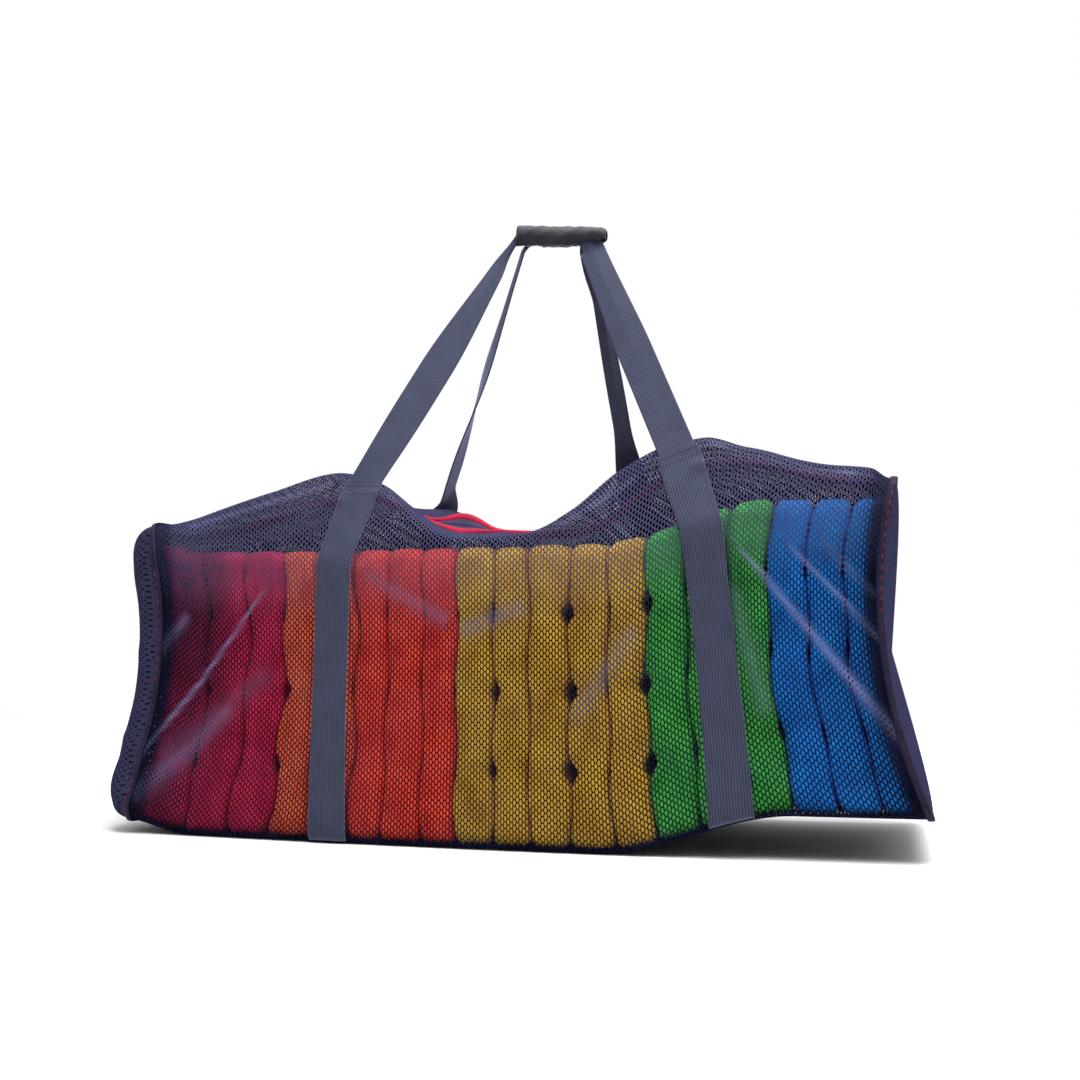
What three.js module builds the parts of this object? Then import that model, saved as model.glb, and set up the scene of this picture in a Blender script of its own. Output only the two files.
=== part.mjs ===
// A mesh duffle bag packed with square foam cushions, resting on its base.
// Both handles are drawn up to the grip.
// Millimetres. +X runs along the bag, +Y towards its back, +Z up.
import * as THREE from "three";

// Driving dimensions
const CUSHION = { side: 394, corner: 22, edge: 10, clear: 2.2, headroom: 8.8, between: 0.8 };
const ROW_START = -520;
const NET = { thick: 1.6, left: -519, right: 466, footRound: 24, ridgeRound: 24 };
const SHOULDER = { drop: 27, round: 14 };
const WEBBING = { width: 50, thick: 2.4, off: 0.8, gripWidth: 19, gripThick: 4, slopeSpread: 1.06 };
const GRIP = { length: 136, high: 34, deep: 25, wall: 3.4, openDeg: 42, tilt: 6 };
const GRIP_AT = new THREE.Vector3(23, 0, 869);
const BINDING = { radius: 4, sides: 4, gap: 0.9 };
const CAP = { left: 70, right: 10, rings: 5, fullness: 5, crowd: 1.8 };
const ZIP = { width: 30, thick: 2, gap: 0.6 };

// Room each cushion takes along the bag, from left to right, looser at the left end.
const CUSHIONS = [
  { colour: "crimson", room: 70 },
  { colour: "crimson", room: 65 },
  { colour: "crimson", room: 56 },
  { colour: "orange", room: 55 },
  { colour: "orange", room: 54 },
  { colour: "scarlet", room: 46 },
  { colour: "scarlet", room: 51 },
  { colour: "scarlet", room: 47 },
  { colour: "yellow", room: 51 },
  { colour: "yellow", room: 49 },
  { colour: "yellow", room: 53 },
  { colour: "yellow", room: 52 },
  { colour: "yellow", room: 49 },
  { colour: "green", room: 53 },
  { colour: "green", room: 51 },
  { colour: "green", room: 51 },
  { colour: "blue", room: 48 },
  { colour: "blue", room: 46 },
  { colour: "blue", room: 42 },
];

// How the load sits: the right end is drawn up off the floor, the ends flare above and below
// a waist, and the bag bows.
const LIFT = { right: 54, rightFrom: 110, rightTo: 330, left: 17, leftFrom: -440, leftTo: -530 };
const FLARE = { atX: 500, power: 1.5, waist: 270 };
const FLARE_FOOT = { left: 26, right: 34, over: 200 };
const FLARE_TOP = { left: 22, right: 19, over: 140, most: 1.2 };
const BOW = { depth: 20, atX: 480 };

// Height of the front ridge, the zip and the back ridge above the cushions, along the bag.
const TOP_LINE = [
  { x: -519, front: 20, zip: 21, back: 22 },
  { x: -438, front: 54, zip: 48, back: 50 },
  { x: -357, front: 81, zip: 76, back: 66 },
  { x: -262, front: 109, zip: 82, back: 76 },
  { x: -198, front: 91, zip: 54, back: 81 },
  { x: -161, front: 63, zip: 42, back: 69 },
  { x: -135, front: 36, zip: 40, back: 48 },
  { x: -106, front: 14, zip: 35, back: 37 },
  { x: -80, front: 4, zip: 27, back: 30 },
  { x: -30, front: 3, zip: 22, back: 18 },
  { x: 20, front: 9, zip: 20, back: 22 },
  { x: 74, front: 42, zip: 30, back: 76 },
  { x: 135, front: 97, zip: 72, back: 92 },
  { x: 185, front: 113, zip: 88, back: 84 },
  { x: 238, front: 104, zip: 86, back: 74 },
  { x: 294, front: 69, zip: 66, back: 58 },
  { x: 386, front: 38, zip: 36, back: 36 },
  { x: 440, front: 31, zip: 31, back: 31 },
  { x: 466, front: 16, zip: 19, back: 18 },
];
const RIDGE_SET_BACK = { least: 8, slope: 0.45 };
// Where the zip leans over to the front, by how far each edge is moved and over what length.
const ZIP_LEAN = { atX: -125, height: 16, over: 36 };

// Tension folds on the front, from strap to end seam: where each starts and ends, its height
// and half-width.
const FRONT_FOLDS = [
  { fromX: -350, fromZ: 340, toX: -545, toZ: 92, height: 8, width: 24 },
  { fromX: -382, fromZ: 197, toX: -555, toZ: 36, height: 9, width: 26 },
  { fromX: 322, fromZ: 320, toX: 500, toZ: 86, height: 10, width: 24 },
  { fromX: 360, fromZ: 345, toX: 480, toZ: 204, height: 7, width: 22 },
];

// Where the middle of each sewn run lies along the bag, at the foot, at the shoulder and at the ridge.
const SEWN_RUNS = {
  front: {
    left: { foot: -258, shoulder: -250, ridge: -227 },
    right: { foot: 290, shoulder: 253, ridge: 218 },
  },
  back: {
    left: { foot: -258, shoulder: -254, ridge: -227 },
    right: { foot: 282, shoulder: 203, ridge: 104 },
  },
};
// Where each free leg enters the grip, in the grip's own x and z, and its width there.
// It goes in at the grip's end or through the open underside.
const GRIP_ENTRIES = {
  front: {
    left: { x: -69, z: -6, width: 19, through: "end" },
    right: { x: 49, z: -18, width: 38, through: "underside" },
  },
  back: {
    left: { x: -57, z: -22, width: 9, through: "underside" },
    right: { x: 46, z: -18, width: 34, through: "underside" },
  },
};
// How each free leg twists, in degrees, over which shares of its way up.
const TWISTS = {
  front: {
    left: [{ from: 0, to: 0.35, turn: 8 }, { from: 0.8, to: 1, turn: -8 }],
    right: [{ from: 0, to: 0.35, turn: -6 }, { from: 0.8, to: 1, turn: 6 }],
  },
  back: {
    left: [{ from: 0, to: 0.2, turn: 82 }, { from: 0.2, to: 0.66, turn: 36 }],
    right: [{ from: 0, to: 0.35, turn: -50 }, { from: 0.8, to: 1, turn: 50 }],
  },
};
const BEND = { length: 30, lean: 8 };
// Which way up the left edge of each handle turns inside the grip.
const EDGE_UP = { front: -1, back: 1 };
// Shares of a free leg's way by which it is square, and from which it narrows and swings upright.
const LEG = { squareBy: 0.3, gatherFrom: 0.45, swingFrom: 0.8 };

const SECTION_STEPS = { top: 4, ridge: 2, slope: 2, shoulder: 2, face: 7, foot: 4, base: 2 };
const NET_STATIONS = 34;
const STATION_EASE = 0.4;
const CUSHION_LEVELS = 6;
const HANDLE_STEPS = 18;
const BEND_STEPS = 4;
const GRIP_STEPS = 18;
const MOST_OF_SIDE = 0.45;
const FACE_WITHIN = 1;

// Sizes that follow from these
const FOOT_Z = NET.thick + CUSHION.clear;
const SHOULDER_Z = FOOT_Z + CUSHION.side + CUSHION.headroom;
const BEND_Z = SHOULDER_Z - SHOULDER.drop;
const MIDDLE_Z = SHOULDER_Z / 2;
const HALF_DEPTH = CUSHION.side / 2 + CUSHION.clear + NET.thick;

const COLOURS = {
  net: 0x20223a,
  webbing: 0x3f4152,
  grip: 0x34363b,
  binding: 0x2b2136,
  zip: 0x9a1f37,
  crimson: 0xb3163a,
  orange: 0xb85a2c,
  scarlet: 0xc8391f,
  yellow: 0xc79a2b,
  green: 0x1f8a3f,
  blue: 0x1c5fa8,
};
const ROUGHNESS = { cloth: 0.8, grip: 0.75, cushion: 0.6 };

const part = new THREE.Group();

// Ease from 0 to 1 as x goes from one value to another.
function ease(x, from, to) {
  const t = THREE.MathUtils.clamp((x - from) / (to - from), 0, 1);
  return t * t * (3 - 2 * t);
}

// Slope of a table column at a row, level where the column peaks or dips there.
function rowSlope(row, column) {
  const [before, here, after] = [TOP_LINE[row - 1], TOP_LINE[row], TOP_LINE[row + 1]];
  if (!before || !after) return 0;
  const back = (here[column] - before[column]) / (here.x - before.x);
  const ahead = (after[column] - here[column]) / (after.x - here.x);
  return back * ahead > 0 ? (2 * back * ahead) / (back + ahead) : 0;
}

// A column of the top-line table at x, on a smooth curve through its rows.
function topLine(x, column) {
  const found = TOP_LINE.findIndex((row) => row.x > x);
  const next = found < 1 ? (found === 0 ? 1 : TOP_LINE.length - 1) : found;
  const [a, b] = [TOP_LINE[next - 1], TOP_LINE[next]];
  const span = b.x - a.x;
  const t = THREE.MathUtils.clamp((x - a.x) / span, 0, 1);
  const [t2, t3] = [t * t, t * t * t];
  return (
    (2 * t3 - 3 * t2 + 1) * a[column] +
    (t3 - 2 * t2 + t) * span * rowSlope(next - 1, column) +
    (3 * t2 - 2 * t3) * b[column] +
    (t3 - t2) * span * rowSlope(next, column)
  );
}

// How far the zip's back edge stands above its middle at x, and its front edge below.
function zipLean(x) {
  return ZIP_LEAN.height * Math.exp(-(((x - ZIP_LEAN.atX) / ZIP_LEAN.over) ** 2));
}

// How far the base is off the floor at x.
function lift(x) {
  const right = LIFT.right * ease(x, LIFT.rightFrom, LIFT.rightTo);
  const left = LIFT.left * ease(x, LIFT.leftFrom, LIFT.leftTo);
  return right + left;
}

// How far the load spreads outwards along the bag below and above its waist.
function flare(x, z) {
  const below = Math.max((FLARE.waist - z) / FLARE_FOOT.over, 0);
  const above = THREE.MathUtils.clamp((z - FLARE.waist) / FLARE_TOP.over, 0, FLARE_TOP.most);
  const end = x < 0 ? "left" : "right";
  const spread = FLARE_FOOT[end] * below ** 2 + FLARE_TOP[end] * above ** 2;
  return Math.sign(x) * spread * Math.abs(x / FLARE.atX) ** FLARE.power;
}

function bow(x) {
  return BOW.depth * (x / BOW.atX) ** 2;
}

// A point of the packed bag from its place along the bag and its section's own y and z.
function place(x, y, z) {
  return new THREE.Vector3(x + flare(x, z), y + bow(x), z + lift(x));
}

// How far the tension folds push the front out at a point.
function foldHeight(x, z) {
  const point = new THREE.Vector3(x + flare(x, z), 0, z);
  return FRONT_FOLDS.reduce((sum, fold) => {
    const from = new THREE.Vector3(fold.fromX, 0, fold.fromZ);
    const to = new THREE.Vector3(fold.toX, 0, fold.toZ);
    const nearest = new THREE.Line3(from, to).closestPointToPoint(point, true, new THREE.Vector3());
    return sum + fold.height * Math.exp(-((nearest.distanceTo(point) / fold.width) ** 2));
  }, 0);
}

// Points along a line of corners, each corner rounded, with a fixed count of steps on every stretch.
function roundedLine(corners) {
  const points = [];
  let start = corners[0].at;
  for (let i = 1; i < corners.length; i += 1) {
    const { at, round = 0, steps, roundSteps = 0 } = corners[i];
    const before = corners[i - 1].at;
    const after = corners[i + 1]?.at ?? at;
    const shorter = Math.min(at.distanceTo(before), at.distanceTo(after));
    const cut = Math.min(round, MOST_OF_SIDE * shorter);
    const enter = at.clone().addScaledVector(before.clone().sub(at).normalize(), cut);
    const leave = at.clone().addScaledVector(after.clone().sub(at).normalize(), cut);
    const turn = new THREE.QuadraticBezierCurve(enter, at, leave);
    for (let k = 0; k < steps; k += 1) points.push(start.clone().lerp(enter, k / steps));
    for (let k = 0; k < roundSteps; k += 1) points.push(turn.getPoint(k / roundSteps));
    start = leave;
  }
  points.push(start);
  return points;
}

// One half of the net's section at x: from the zip's edge over the ridge and down to the
// middle of the base.
function halfSection(x, side) {
  const ridge = topLine(x, side < 0 ? "front" : "back");
  const setBack = RIDGE_SET_BACK.least + RIDGE_SET_BACK.slope * ridge;
  const steps = SECTION_STEPS;
  const zipZ = SHOULDER_Z + topLine(x, "zip") + side * zipLean(x);
  const zipEdge = new THREE.Vector2(ZIP.width / 2 + ZIP.gap, zipZ);
  const ridgeAt = new THREE.Vector2(HALF_DEPTH - setBack, SHOULDER_Z + ridge);
  const shoulder = new THREE.Vector2(HALF_DEPTH, BEND_Z);
  const foot = new THREE.Vector2(HALF_DEPTH, 0);
  const line = roundedLine([
    { at: zipEdge },
    { at: ridgeAt, round: NET.ridgeRound, steps: steps.top, roundSteps: steps.ridge },
    { at: shoulder, round: SHOULDER.round, steps: steps.slope, roundSteps: steps.shoulder },
    { at: foot, round: NET.footRound, steps: steps.face, roundSteps: steps.foot },
    { at: new THREE.Vector2(0, 0), steps: steps.base },
  ]);
  return line.map((p) => {
    const onFace = side < 0 && p.x > HALF_DEPTH - FACE_WITHIN;
    const out = p.x + (onFace ? foldHeight(x, p.y) : 0);
    return new THREE.Vector2(side * out, p.y);
  });
}

// The whole section from the zip's front edge round the base to its back edge, as (y, z).
function section(x) {
  const front = halfSection(x, -1);
  const back = halfSection(x, 1).reverse();
  return [...front, ...back.slice(1)];
}

// A section drawn in by some distance and set out in space at x, all of it moved along the
// bag by shift.
function insetSection(x, inset, shift = 0) {
  const line = section(x);
  return line.map((p, i) => {
    const behind = line[Math.max(i - 1, 0)];
    const ahead = line[Math.min(i + 1, line.length - 1)];
    const along = ahead.clone().sub(behind).normalize();
    const q = p.clone().addScaledVector(new THREE.Vector2(-along.y, along.x), inset);
    return place(x, q.x, q.y).add(new THREE.Vector3(shift, 0, 0));
  });
}

// A closed solid from points and faces, turned so that its faces point out.
function solid(points, faces) {
  const volume = faces.reduce((sum, [a, b, c]) => {
    return sum + points[a].dot(points[b].clone().cross(points[c]));
  }, 0);
  const index = faces.flatMap(([a, b, c]) => (volume < 0 ? [a, c, b] : [a, b, c]));
  const geometry = new THREE.BufferGeometry().setFromPoints(points);
  geometry.setIndex(index);
  geometry.computeVertexNormals();
  return geometry;
}

// Faces between the rows of a grid of points, whose rows or columns may close on themselves.
function gridFaces(rows, columns, options = {}) {
  const { first = 0, closeRows = false, closeColumns = false, flip = false } = options;
  const faces = [];
  const at = (r, c) => first + (r % rows) * columns + (c % columns);
  for (let r = 0; r < rows - (closeRows ? 0 : 1); r += 1) {
    for (let c = 0; c < columns - (closeColumns ? 0 : 1); c += 1) {
      const [p, q, s, t] = [at(r, c), at(r, c + 1), at(r + 1, c + 1), at(r + 1, c)];
      faces.push(...(flip ? [[p, s, q], [p, t, s]] : [[p, q, s], [p, s, t]]));
    }
  }
  return faces;
}

// A sheet with thickness, from two grids of the same shape.
function sheet(outer, inner) {
  const [rows, columns] = [outer.length, outer[0].length];
  const count = rows * columns;
  const faces = [...gridFaces(rows, columns), ...gridFaces(rows, columns, { first: count, flip: true })];
  const wall = (a, b) => faces.push([b, a, a + count], [b, a + count, b + count]);
  for (let c = 0; c < columns - 1; c += 1) {
    wall(c, c + 1);
    wall((rows - 1) * columns + c + 1, (rows - 1) * columns + c);
  }
  for (let r = 0; r < rows - 1; r += 1) {
    wall((r + 1) * columns, r * columns);
    wall(r * columns + columns - 1, (r + 1) * columns + columns - 1);
  }
  return solid([...outer.flat(), ...inner.flat()], faces);
}

// A solid through a row of closed sections, capped at both ends.
function loft(sections) {
  const [rows, columns] = [sections.length, sections[0].length];
  const last = (rows - 1) * columns;
  const faces = gridFaces(rows, columns, { closeColumns: true });
  for (let c = 1; c < columns - 1; c += 1) {
    faces.push([0, c + 1, c], [last, last + c, last + c + 1]);
  }
  return solid(sections.flat(), faces);
}

// A ring through a closed row of closed sections.
function ring(sections) {
  const faces = gridFaces(sections.length, sections[0].length, { closeRows: true, closeColumns: true });
  return solid(sections.flat(), faces);
}

function addPiece(name, geometry, colour, roughness = ROUGHNESS.cloth) {
  const color = COLOURS[colour];
  const material = new THREE.MeshStandardMaterial({ color, roughness, metalness: 0 });
  const mesh = new THREE.Mesh(geometry, material);
  mesh.name = name;
  part.add(mesh);
  return mesh;
}

// Stations along the bag, closer together towards its ends where the folds are.
const stations = Array.from({ length: NET_STATIONS + 1 }, (_, k) => {
  const t = (2 * k) / NET_STATIONS - 1;
  const eased = (1 - STATION_EASE) * t + STATION_EASE * Math.sin((t * Math.PI) / 2);
  return (NET.left + NET.right) / 2 + ((NET.right - NET.left) / 2) * eased;
});
const netRows = stations.map((x) => insetSection(x, 0));

// The net's outer surface at any x, on one of the lines that run along the bag.
function netPoint(x, line) {
  const found = stations.findIndex((station) => station > x);
  const next = found < 1 ? NET_STATIONS : found;
  const [a, b] = [stations[next - 1], stations[next]];
  return netRows[next - 1][line].clone().lerp(netRows[next][line], (x - a) / (b - a));
}

// The body: one sheet of net wrapped from the zip round the front, base and back to the zip again.
function addBodyNet() {
  const inner = stations.map((x) => insetSection(x, NET.thick));
  addPiece("body_net", sheet(netRows, inner), "net");
}

// Small closed sections round a seam line, square to it.
function bindingSections(seam, sign) {
  return seam.map((p, i) => {
    const ahead = seam[(i + 1) % seam.length];
    const behind = seam[(i - 1 + seam.length) % seam.length];
    const along = ahead.clone().sub(behind).normalize();
    const outward = new THREE.Vector3(sign, 0, 0);
    outward.addScaledVector(along, -outward.dot(along)).normalize();
    const across = along.clone().cross(outward);
    return Array.from({ length: BINDING.sides }, (_, k) => {
      const turn = (2 * Math.PI * k) / BINDING.sides;
      const corner = p.clone().addScaledVector(outward, BINDING.radius * Math.cos(turn));
      return corner.addScaledVector(across, BINDING.radius * Math.sin(turn));
    });
  });
}

// Rings of a puffed panel from its rim to its middle, with the middle as one last point.
function dome(rim, middle, bulge) {
  const rings = [];
  for (let k = 0; k < CAP.rings; k += 1) {
    const reach = 1 - (k / CAP.rings) ** CAP.crowd;
    const out = new THREE.Vector3(bulge * Math.sqrt(1 - reach ** CAP.fullness), 0, 0);
    rings.push(rim.map((p) => middle.clone().lerp(p, reach).add(out)));
  }
  return { rings, pole: middle.clone().add(new THREE.Vector3(bulge, 0, 0)) };
}

// The sheet between two domes, closed round their rims.
function nestedDomes(outer, inner) {
  const [rows, columns] = [outer.rings.length, outer.rings[0].length];
  const half = rows * columns + 1;
  const lastRing = (rows - 1) * columns;
  const faces = [
    ...gridFaces(rows, columns, { closeColumns: true }),
    ...gridFaces(rows, columns, { first: half, closeColumns: true, flip: true }),
  ];
  for (let c = 0; c < columns; c += 1) {
    const d = (c + 1) % columns;
    faces.push([lastRing + c, lastRing + d, half - 1]);
    faces.push([half + lastRing + d, half + lastRing + c, 2 * half - 1]);
    faces.push([d, c, half + c], [d, half + c, half + d]);
  }
  return solid([...outer.rings.flat(), outer.pole, ...inner.rings.flat(), inner.pole], faces);
}

// Each end: a puffed panel of net in the ring of its bound seam.
function addEnd(name, sign, x, bulge) {
  const shift = sign * (BINDING.gap + BINDING.radius);
  const seam = insetSection(x, NET.thick / 2, shift);
  addPiece(`end_binding_${name}`, ring(bindingSections(seam, sign)), "binding");

  const rimInset = NET.thick / 2 + BINDING.radius + BINDING.gap;
  const outerRim = insetSection(x, rimInset, shift);
  const innerRim = insetSection(x, rimInset + NET.thick, shift);
  const middle = place(x, 0, MIDDLE_Z).add(new THREE.Vector3(shift, 0, 0));
  const outer = dome(outerRim, middle, sign * bulge);
  const inner = dome(innerRim, middle, sign * (bulge - NET.thick));
  addPiece(`end_net_${name}`, nestedDomes(outer, inner), "net");
}

// The zip: a strip along the top between the two edges of the body net.
function addZip() {
  const half = ZIP.width / 2;
  const strip = (drop) =>
    stations.map((x) => {
      const z = SHOULDER_Z + topLine(x, "zip") - drop;
      return [-half, 0, half].map((y) => place(x, y, z + (y / half) * zipLean(x)));
    });
  addPiece("zip", sheet(strip(0), strip(ZIP.thick)), "zip");
}

// Lines of the body net between which a webbing run is sewn, counted from the zip's edge.
const RIDGE_LINE = SECTION_STEPS.top + SECTION_STEPS.ridge;
const FACE_END_LINE = RIDGE_LINE + SECTION_STEPS.slope + SECTION_STEPS.shoulder + SECTION_STEPS.face;
const FOOT_LINE = FACE_END_LINE + SECTION_STEPS.foot / 2;
const LAST_LINE = netRows[0].length - 1;

// Frames of a sewn run, from the foot to the ridge on one side of the bag.
function sewnRun(run, side) {
  const heights = halfSection(run.ridge, side).map((p) => p.y);
  const ridgeHeight = heights[RIDGE_LINE] - BEND_Z;
  const frames = [];
  for (let line = FOOT_LINE; line >= RIDGE_LINE; line -= 1) {
    const upFace = THREE.MathUtils.clamp(heights[line] / BEND_Z, 0, 1);
    const upSlope = THREE.MathUtils.clamp((heights[line] - BEND_Z) / ridgeHeight, 0, 1);
    const target = THREE.MathUtils.lerp(run.foot, run.shoulder, upFace) + (run.ridge - run.shoulder) * upSlope;
    const x = target - flare(target, heights[line]);
    const half = (WEBBING.width / 2) * (upSlope > 0 ? WEBBING.slopeSpread : 1);
    const at = (k, step = 0) => {
      const towardsZip = line + step;
      return netPoint(x + k * half, side < 0 ? towardsZip : LAST_LINE - towardsZip);
    };
    const across = at(1).sub(at(-1));
    const outward = across.cross(at(0, -1).sub(at(0, 1))).normalize().multiplyScalar(-side);
    const inner = [-1, 0, 1].map((k) => at(k).addScaledVector(outward, WEBBING.off));
    frames.push({ inner, outward, thick: WEBBING.thick });
  }
  return frames;
}

// One frame on a way through the air: square to the way it goes, its inner face towards the bag.
function freeFrame(middle, way, across, side, width, thick) {
  const flat = way.clone().addScaledVector(across, -way.dot(across)).normalize();
  const outward = across.clone().cross(flat).multiplyScalar(-side);
  const inner = [-1, 0, 1].map((k) => {
    const onMiddle = middle.clone().addScaledVector(across, (k * width) / 2);
    return onMiddle.addScaledVector(outward, -thick / 2);
  });
  return { inner, outward, thick };
}

// Frames of a free handle leg, from the last frame of its sewn run up to where it enters the grip.
function handleLeg(from, entry, side) {
  const start = from.inner[1].clone().addScaledVector(from.outward, from.thick / 2);
  const acrossAtStart = from.inner[2].clone().sub(from.inner[0]).normalize();
  const along = entry.at.clone().sub(start).normalize();
  const square = acrossAtStart.clone().addScaledVector(along, -acrossAtStart.dot(along)).normalize();
  return Array.from({ length: HANDLE_STEPS }, (_, k) => {
    const t = (k + 1) / HANDLE_STEPS;
    const swing = ease(t, LEG.swingFrom, 1);
    const turn = entry.twist.reduce((sum, stage) => sum + stage.turn * ease(t, stage.from, stage.to), 0);
    const across = acrossAtStart.clone().lerp(square, ease(t, 0, LEG.squareBy));
    across.applyAxisAngle(along, THREE.MathUtils.degToRad(turn));
    if (entry.upright) across.lerp(entry.upright, swing);
    const width = THREE.MathUtils.lerp(WEBBING.width, entry.width, ease(t, LEG.gatherFrom, 1));
    const middle = start.clone().lerp(entry.at, t);
    return freeFrame(middle, along, across.normalize(), side, width, WEBBING.thick);
  });
}

// Frames of the bend by which a leg that enters the grip from below turns to run along inside it.
function gripBend(leg, corner, end, upright, side) {
  const last = leg.at(-1);
  const start = last.inner[1].clone().addScaledVector(last.outward, last.thick / 2);
  const across = last.inner[2].clone().sub(last.inner[0]);
  const turn = new THREE.QuadraticBezierCurve3(start, corner, end);
  return Array.from({ length: BEND_STEPS }, (_, k) => {
    const t = (k + 1) / BEND_STEPS;
    const turned = across.clone().normalize().lerp(upright, Math.sqrt(t)).normalize();
    const width = THREE.MathUtils.lerp(across.length(), WEBBING.gripWidth, t);
    const thick = THREE.MathUtils.lerp(WEBBING.thick, WEBBING.gripThick, t);
    return freeFrame(turn.getPoint(t), turn.getTangent(t), turned, side, width, thick);
  });
}

// One half of a handle, from the foot of its sewn run to inside the grip.
function handleHalf(name, end, side) {
  const sign = end === "left" ? -1 : 1;
  const { x, z, width, through } = GRIP_ENTRIES[name][end];
  const tilt = new THREE.Matrix4().makeRotationY(THREE.MathUtils.degToRad(GRIP.tilt));
  const beside = side * (WEBBING.gripThick / 2 + WEBBING.off);
  const inGrip = (gx, gz) => new THREE.Vector3(gx, beside, gz).applyMatrix4(tilt).add(GRIP_AT);
  const upright = new THREE.Vector3(0, 0, -sign * EDGE_UP[name]).applyMatrix4(tilt);
  const sewn = sewnRun(SEWN_RUNS[name][end], side);
  const fromBelow = through === "underside";
  const twist = TWISTS[name][end];
  const entry = { at: inGrip(x, z), width, twist, upright: fromBelow ? null : upright };
  const leg = handleLeg(sewn.at(-1), entry, side);
  if (!fromBelow) return [...sewn, ...leg];
  const corner = inGrip(x - sign * BEND.lean, 0);
  const inside = inGrip(x - sign * BEND.length, 0);
  return [...sewn, ...leg, ...gripBend(leg, corner, inside, upright, side)];
}

// One handle: webbing from the left foot up to the grip, through it and down to the right foot.
function addStrap(name, side) {
  const turned = (frame) => ({ ...frame, inner: [...frame.inner].reverse() });
  const right = handleHalf(name, "right", side).reverse().map(turned);
  const frames = [...handleHalf(name, "left", side), ...right];
  const sections = frames.map(({ inner, outward, thick }) => {
    const outer = inner.map((p) => p.clone().addScaledVector(outward, thick));
    return [...inner, ...outer.reverse()];
  });
  addPiece(`strap_${name}`, loft(sections), "webbing");
}

// The grip: a padded flap folded down over both handles, open along its underside.
function addGrip() {
  const open = THREE.MathUtils.degToRad(GRIP.openDeg);
  const arc = (inset) =>
    Array.from({ length: GRIP_STEPS + 1 }, (_, k) => {
      const turn = -open + ((Math.PI + 2 * open) * k) / GRIP_STEPS;
      const [deep, high] = [GRIP.deep / 2 - inset, GRIP.high / 2 - inset];
      return new THREE.Vector2(deep * Math.cos(turn), high * Math.sin(turn));
    });
  const shape = new THREE.Shape([...arc(0), ...arc(GRIP.wall).reverse()]);
  const geometry = new THREE.ExtrudeGeometry(shape, { depth: GRIP.length, bevelEnabled: false });
  geometry.translate(0, 0, -GRIP.length / 2);
  geometry.rotateX(Math.PI / 2);
  geometry.rotateZ(Math.PI / 2);
  const mesh = addPiece("grip_wrap", geometry, "grip", ROUGHNESS.grip);
  mesh.rotation.y = THREE.MathUtils.degToRad(GRIP.tilt);
  mesh.position.copy(GRIP_AT);
}

// The cushions: square foam pads on edge, side by side, each carried and bent with the load.
function addCushions() {
  const { side, corner, edge, clear, between } = CUSHION;
  let left = ROW_START;
  CUSHIONS.forEach(({ colour, room }, i) => {
    const [x0, x1] = [left + between / 2, left + room - between / 2];
    const level = (z, drawIn, deep) => {
      const foot = new THREE.Vector3(0, 0, FOOT_Z + clear / 2);
      const onLeft = (inwards, y) => place(x0 + drawIn + inwards, y, z).add(foot);
      const onRight = (inwards, y) => place(x1 - drawIn - inwards, y, z).add(foot);
      return [
        onLeft(0, edge - deep),
        onLeft(edge, -deep),
        onRight(edge, -deep),
        onRight(0, edge - deep),
        onRight(0, deep - edge),
        onRight(edge, deep),
        onLeft(edge, deep),
        onLeft(0, deep - edge),
      ];
    };
    const levels = Array.from({ length: CUSHION_LEVELS + 1 }, (_, k) => {
      return level(corner + ((side - 2 * corner) * k) / CUSHION_LEVELS, 0, side / 2);
    });
    const [foot, top] = [0, side].map((z) => level(z, edge, side / 2 - corner));
    const name = `cushion_${String(i + 1).padStart(2, "0")}`;
    addPiece(name, loft([foot, ...levels, top]), colour, ROUGHNESS.cushion);
    left += room;
  });
}

addBodyNet();
addEnd("left", -1, NET.left, CAP.left);
addEnd("right", 1, NET.right, CAP.right);
addZip();
addStrap("front", -1);
addStrap("back", 1);
addGrip();
addCushions();

// The bag stands on z = 0 with its bounding box centred on the origin.
const box = new THREE.Box3().setFromObject(part, true);
const centre = box.getCenter(new THREE.Vector3());
part.children.forEach((mesh) => mesh.position.sub(new THREE.Vector3(centre.x, centre.y, box.min.z)));

export default part;
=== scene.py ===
"""A navy mesh duffle bag, packed with square foam cushions, on a pale floor."""

import logging
import math
from dataclasses import dataclass, field
from enum import Enum
from typing import Callable, NamedTuple

import bmesh
import bpy
import numpy as np
from mathutils import Matrix, Vector


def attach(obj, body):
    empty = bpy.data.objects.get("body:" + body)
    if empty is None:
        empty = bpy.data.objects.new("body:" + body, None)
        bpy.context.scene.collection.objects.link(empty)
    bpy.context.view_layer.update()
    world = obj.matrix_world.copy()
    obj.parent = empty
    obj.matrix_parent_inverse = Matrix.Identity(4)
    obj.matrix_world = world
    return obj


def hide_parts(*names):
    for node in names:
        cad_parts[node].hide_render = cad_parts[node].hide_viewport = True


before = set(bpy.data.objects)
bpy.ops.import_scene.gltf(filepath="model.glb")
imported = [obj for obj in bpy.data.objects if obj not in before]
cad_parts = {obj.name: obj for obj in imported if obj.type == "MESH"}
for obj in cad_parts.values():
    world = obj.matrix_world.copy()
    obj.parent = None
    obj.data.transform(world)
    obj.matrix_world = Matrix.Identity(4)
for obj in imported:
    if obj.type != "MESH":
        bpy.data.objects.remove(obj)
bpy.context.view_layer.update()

LOG = logging.getLogger("mesh_duffle_bag")
MM = 0.001
ROOT = "root"
BAKE_MAP = "OFBake"  # a map with no overlaps, to bake through
BAKE_EDGE = 0.01  # the margin that it keeps
RUN_MAP = "run"  # across and along a tape or a net, in metres
PAINTED_SHEEN = "shine"  # how much painted sheen the net's yarn takes, from 0 to 1
MERGE_AT = 1e-7  # points nearer than this are one, in metres
WAVE_SCALE = 2 / 6.2832  # the wave texture's scale for bands about a metre apart
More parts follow.
